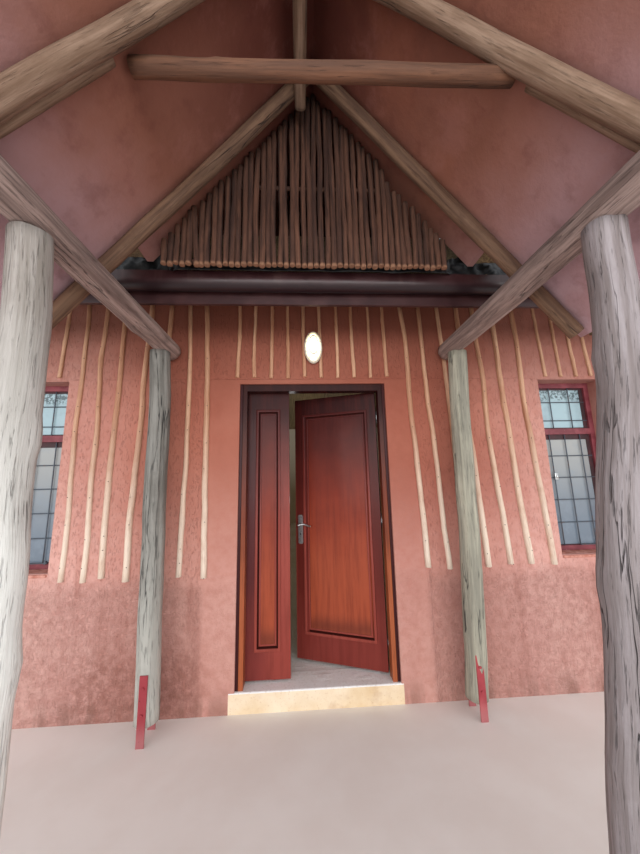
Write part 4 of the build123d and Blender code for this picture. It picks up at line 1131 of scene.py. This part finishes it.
# Each post stands clear of the ground between two steel flats in red oxide, through-bolted at two
# heights, with the bolt heads painted over.
oxide, place = new_finish("red_oxide")
chips = place.noise(45.0, 5.0)
tone = place.noise(6.0, 4.0).rising(0.4, 0.7).blended("99303A", "B4494E")
tone = tone.stained((1 - place.axis("Z").rising(0.02, 0.16)) * 0.5, "B07C7C")
tone = tone.stained(chips.rising(0.66, 0.72) * 0.7, "4B2B26")
connect(oxide, base_color=tone, roughness=0.5 + chips * 0.2, height=chips * 0.0008)
wear(node["post_shoes"], oxide)
bolts = []
for x, front_of, reach in ((-1.090, 0.160, 0.080), (1.055, 0.135, 0.080), (-1.020, 1.370, 0.081),
                           (0.808, 1.450, 0.081)):
    for hand in (-1, 1):
        for level in (0.175, 0.320):
            bolts.append(pole("bolt", nail_blank, porch(x, front_of + hand * reach, level),
                              porch(x, front_of + hand * (reach + 0.007), level), 0.0095, 0.0090, 1, 0, 0))
bolt_heads = joined(bolts, "shoe_bolts")
wear(bolt_heads, oxide)
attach(bolt_heads, "hut")

# The lamp over the door is an oval bulkhead screwed to the wall: a cast base, a domed opal glass that
# is lit warm, and a wire guard over the glass.
lamp_low, lamp_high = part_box("wall_lamp")
lamp_x, lamp_z = (lamp_low.x + lamp_high.x) / 2, (lamp_low.z + lamp_high.z) / 2
lamp_back = lamp_high.y
base_depth, dome_sunk, rim_out, cage_out = 0.026, 0.022, 0.028, 0.074
guard_wire = 0.0026
on_end = (math.radians(90), 0, 0)
base = soften(started("base", bpy.ops.mesh.primitive_cylinder_add, (0.073, 0.135, base_depth), vertices=48,
                      radius=1.0, depth=1.0, location=(lamp_x, lamp_back - base_depth / 2, lamp_z),
                      rotation=on_end), 0.006, 3)
bulb = started("lamp_glass", bpy.ops.mesh.primitive_uv_sphere_add, (0.056, 0.055, 0.117), segments=40,
               ring_count=24, radius=1.0, location=(lamp_x, lamp_back - dome_sunk, lamp_z))
with editing(bulb):
    bpy.ops.mesh.bisect(plane_co=(0, lamp_back - dome_sunk, 0), plane_no=(0, 1, 0), clear_outer=True,
                        use_fill=True)
bpy.ops.object.shade_smooth_by_angle(angle=math.radians(40))
guard = []
for half_wide, half_high, out, wire in ((0.064, 0.125, rim_out, 0.004), (0.034, 0.078, cage_out, 0.0028)):
    guard.append(started("hoop", bpy.ops.mesh.primitive_torus_add, (half_wide, half_high, half_wide),
                         major_radius=1.0, minor_radius=wire / half_wide, major_segments=40, minor_segments=8,
                         location=(lamp_x, lamp_back - out, lamp_z), rotation=on_end))
wires = [((x, hand * 0.06), (x * 1.4, hand * 0.120), base_depth)
         for x in (-0.026, 0.0, 0.026) for hand in (-1, 1)]
wires += [((hand * 0.026, z), (hand * 0.062, z), rim_out) for z in (-0.04, 0.04) for hand in (-1, 1)]
for (x, z), (foot_x, foot_z), out in wires:
    guard.append(pole("wire", rod_blank, (lamp_x + x, lamp_back - cage_out, lamp_z + z),
                      (lamp_x + foot_x, lamp_back - out, lamp_z + foot_z), guard_wire, guard_wire, 2, 0, 0))
wire_guard = joined([base, *guard], "lamp_base_and_guard")
casting, place = new_finish("lamp_casting")
pits = place.noise(120.0, 4.0)
connect(casting, base_color=pits.rising(0.4, 0.7).blended("CFC9B8", "E8E2D2"), roughness=0.35 + pits * 0.2,
        height=pits * 0.0005)
wear(wire_guard, casting)
opal, place = new_finish("lit_glass", roughness=0.3, glow=2.2)
glow = (abs(place.axis("Z") - lamp_z) * 6.0).rising(0.0, 1.0)
connect(opal, base_color=glow.blended("FFF6E0", "F6DDA8"), emission_color=glow.blended("FFF8E6", "FFDF9A"))
wear(bulb, opal)
for piece in (wire_guard, bulb):
    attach(piece, "hut")
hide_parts("wall_lamp")

# The stage is a plain pale floor under a pale world that lights the hut from all round, with a broad
# soft lamp outside the porch and one in the room, as its windows would light it.
ground = started("stage_floor", bpy.ops.mesh.primitive_plane_add, size=90.0, location=(0, 0, 0))
floor_finish, place = new_finish("stage_floor", roughness=0.9)
connect(floor_finish, base_color=place.noise(3.0, 5.0).rising(0.3, 0.7).blended("F0E8E2", "F5EFEA"))
wear(ground, floor_finish)

world = bpy.data.worlds.new("soft_day")
bpy.context.scene.world = world
world.use_nodes = True
world.node_tree.nodes["Background"].inputs["Color"].default_value = (0.95, 0.97, 1.0, 1.0)
world.node_tree.nodes["Background"].inputs["Strength"].default_value = 1.0


def soft_lamp(name, size, height, energy, location, tilt):
    """A broad lamp that looks along its own -Z after a tilt about X."""
    data = bpy.data.lights.new(name, "AREA")
    data.shape = "RECTANGLE"
    data.size = size
    data.size_y = height
    data.energy = energy
    lamp = bpy.data.objects.new(name, data)
    bpy.context.scene.collection.objects.link(lamp)
    lamp.location = location
    lamp.rotation_euler = (math.radians(tilt), 0, 0)
    lamp.visible_camera = False


soft_lamp("open_side", 24.0, 5.0, 1650.0, (0.0, -20.0, 2.6), 90)
soft_lamp("room", 2.5, 2.5, 70.0, (0.0, 0.0, 1.2), 180)

# The camera stands under the front edge of the porch at the height of a hand-held picture and looks
# slightly up at the door.
camera_data = bpy.data.cameras.new("porch_view")
camera_data.lens = 13.53
camera_data.sensor_width = 36.0
camera = bpy.data.objects.new("porch_view", camera_data)
bpy.context.scene.collection.objects.link(camera)
camera.matrix_world = (
    Matrix.Translation((-0.098, -7.270, 1.547))
    @ Matrix.Rotation(math.radians(-3.326), 4, "Z")
    @ Matrix.Rotation(math.radians(9.698), 4, "X")
    @ Matrix.Rotation(math.radians(1.31), 4, "Y")
    @ Matrix.Rotation(math.radians(90), 4, "X")
)
bpy.context.scene.camera = camera
bpy.context.scene.view_settings.view_transform = "Standard"
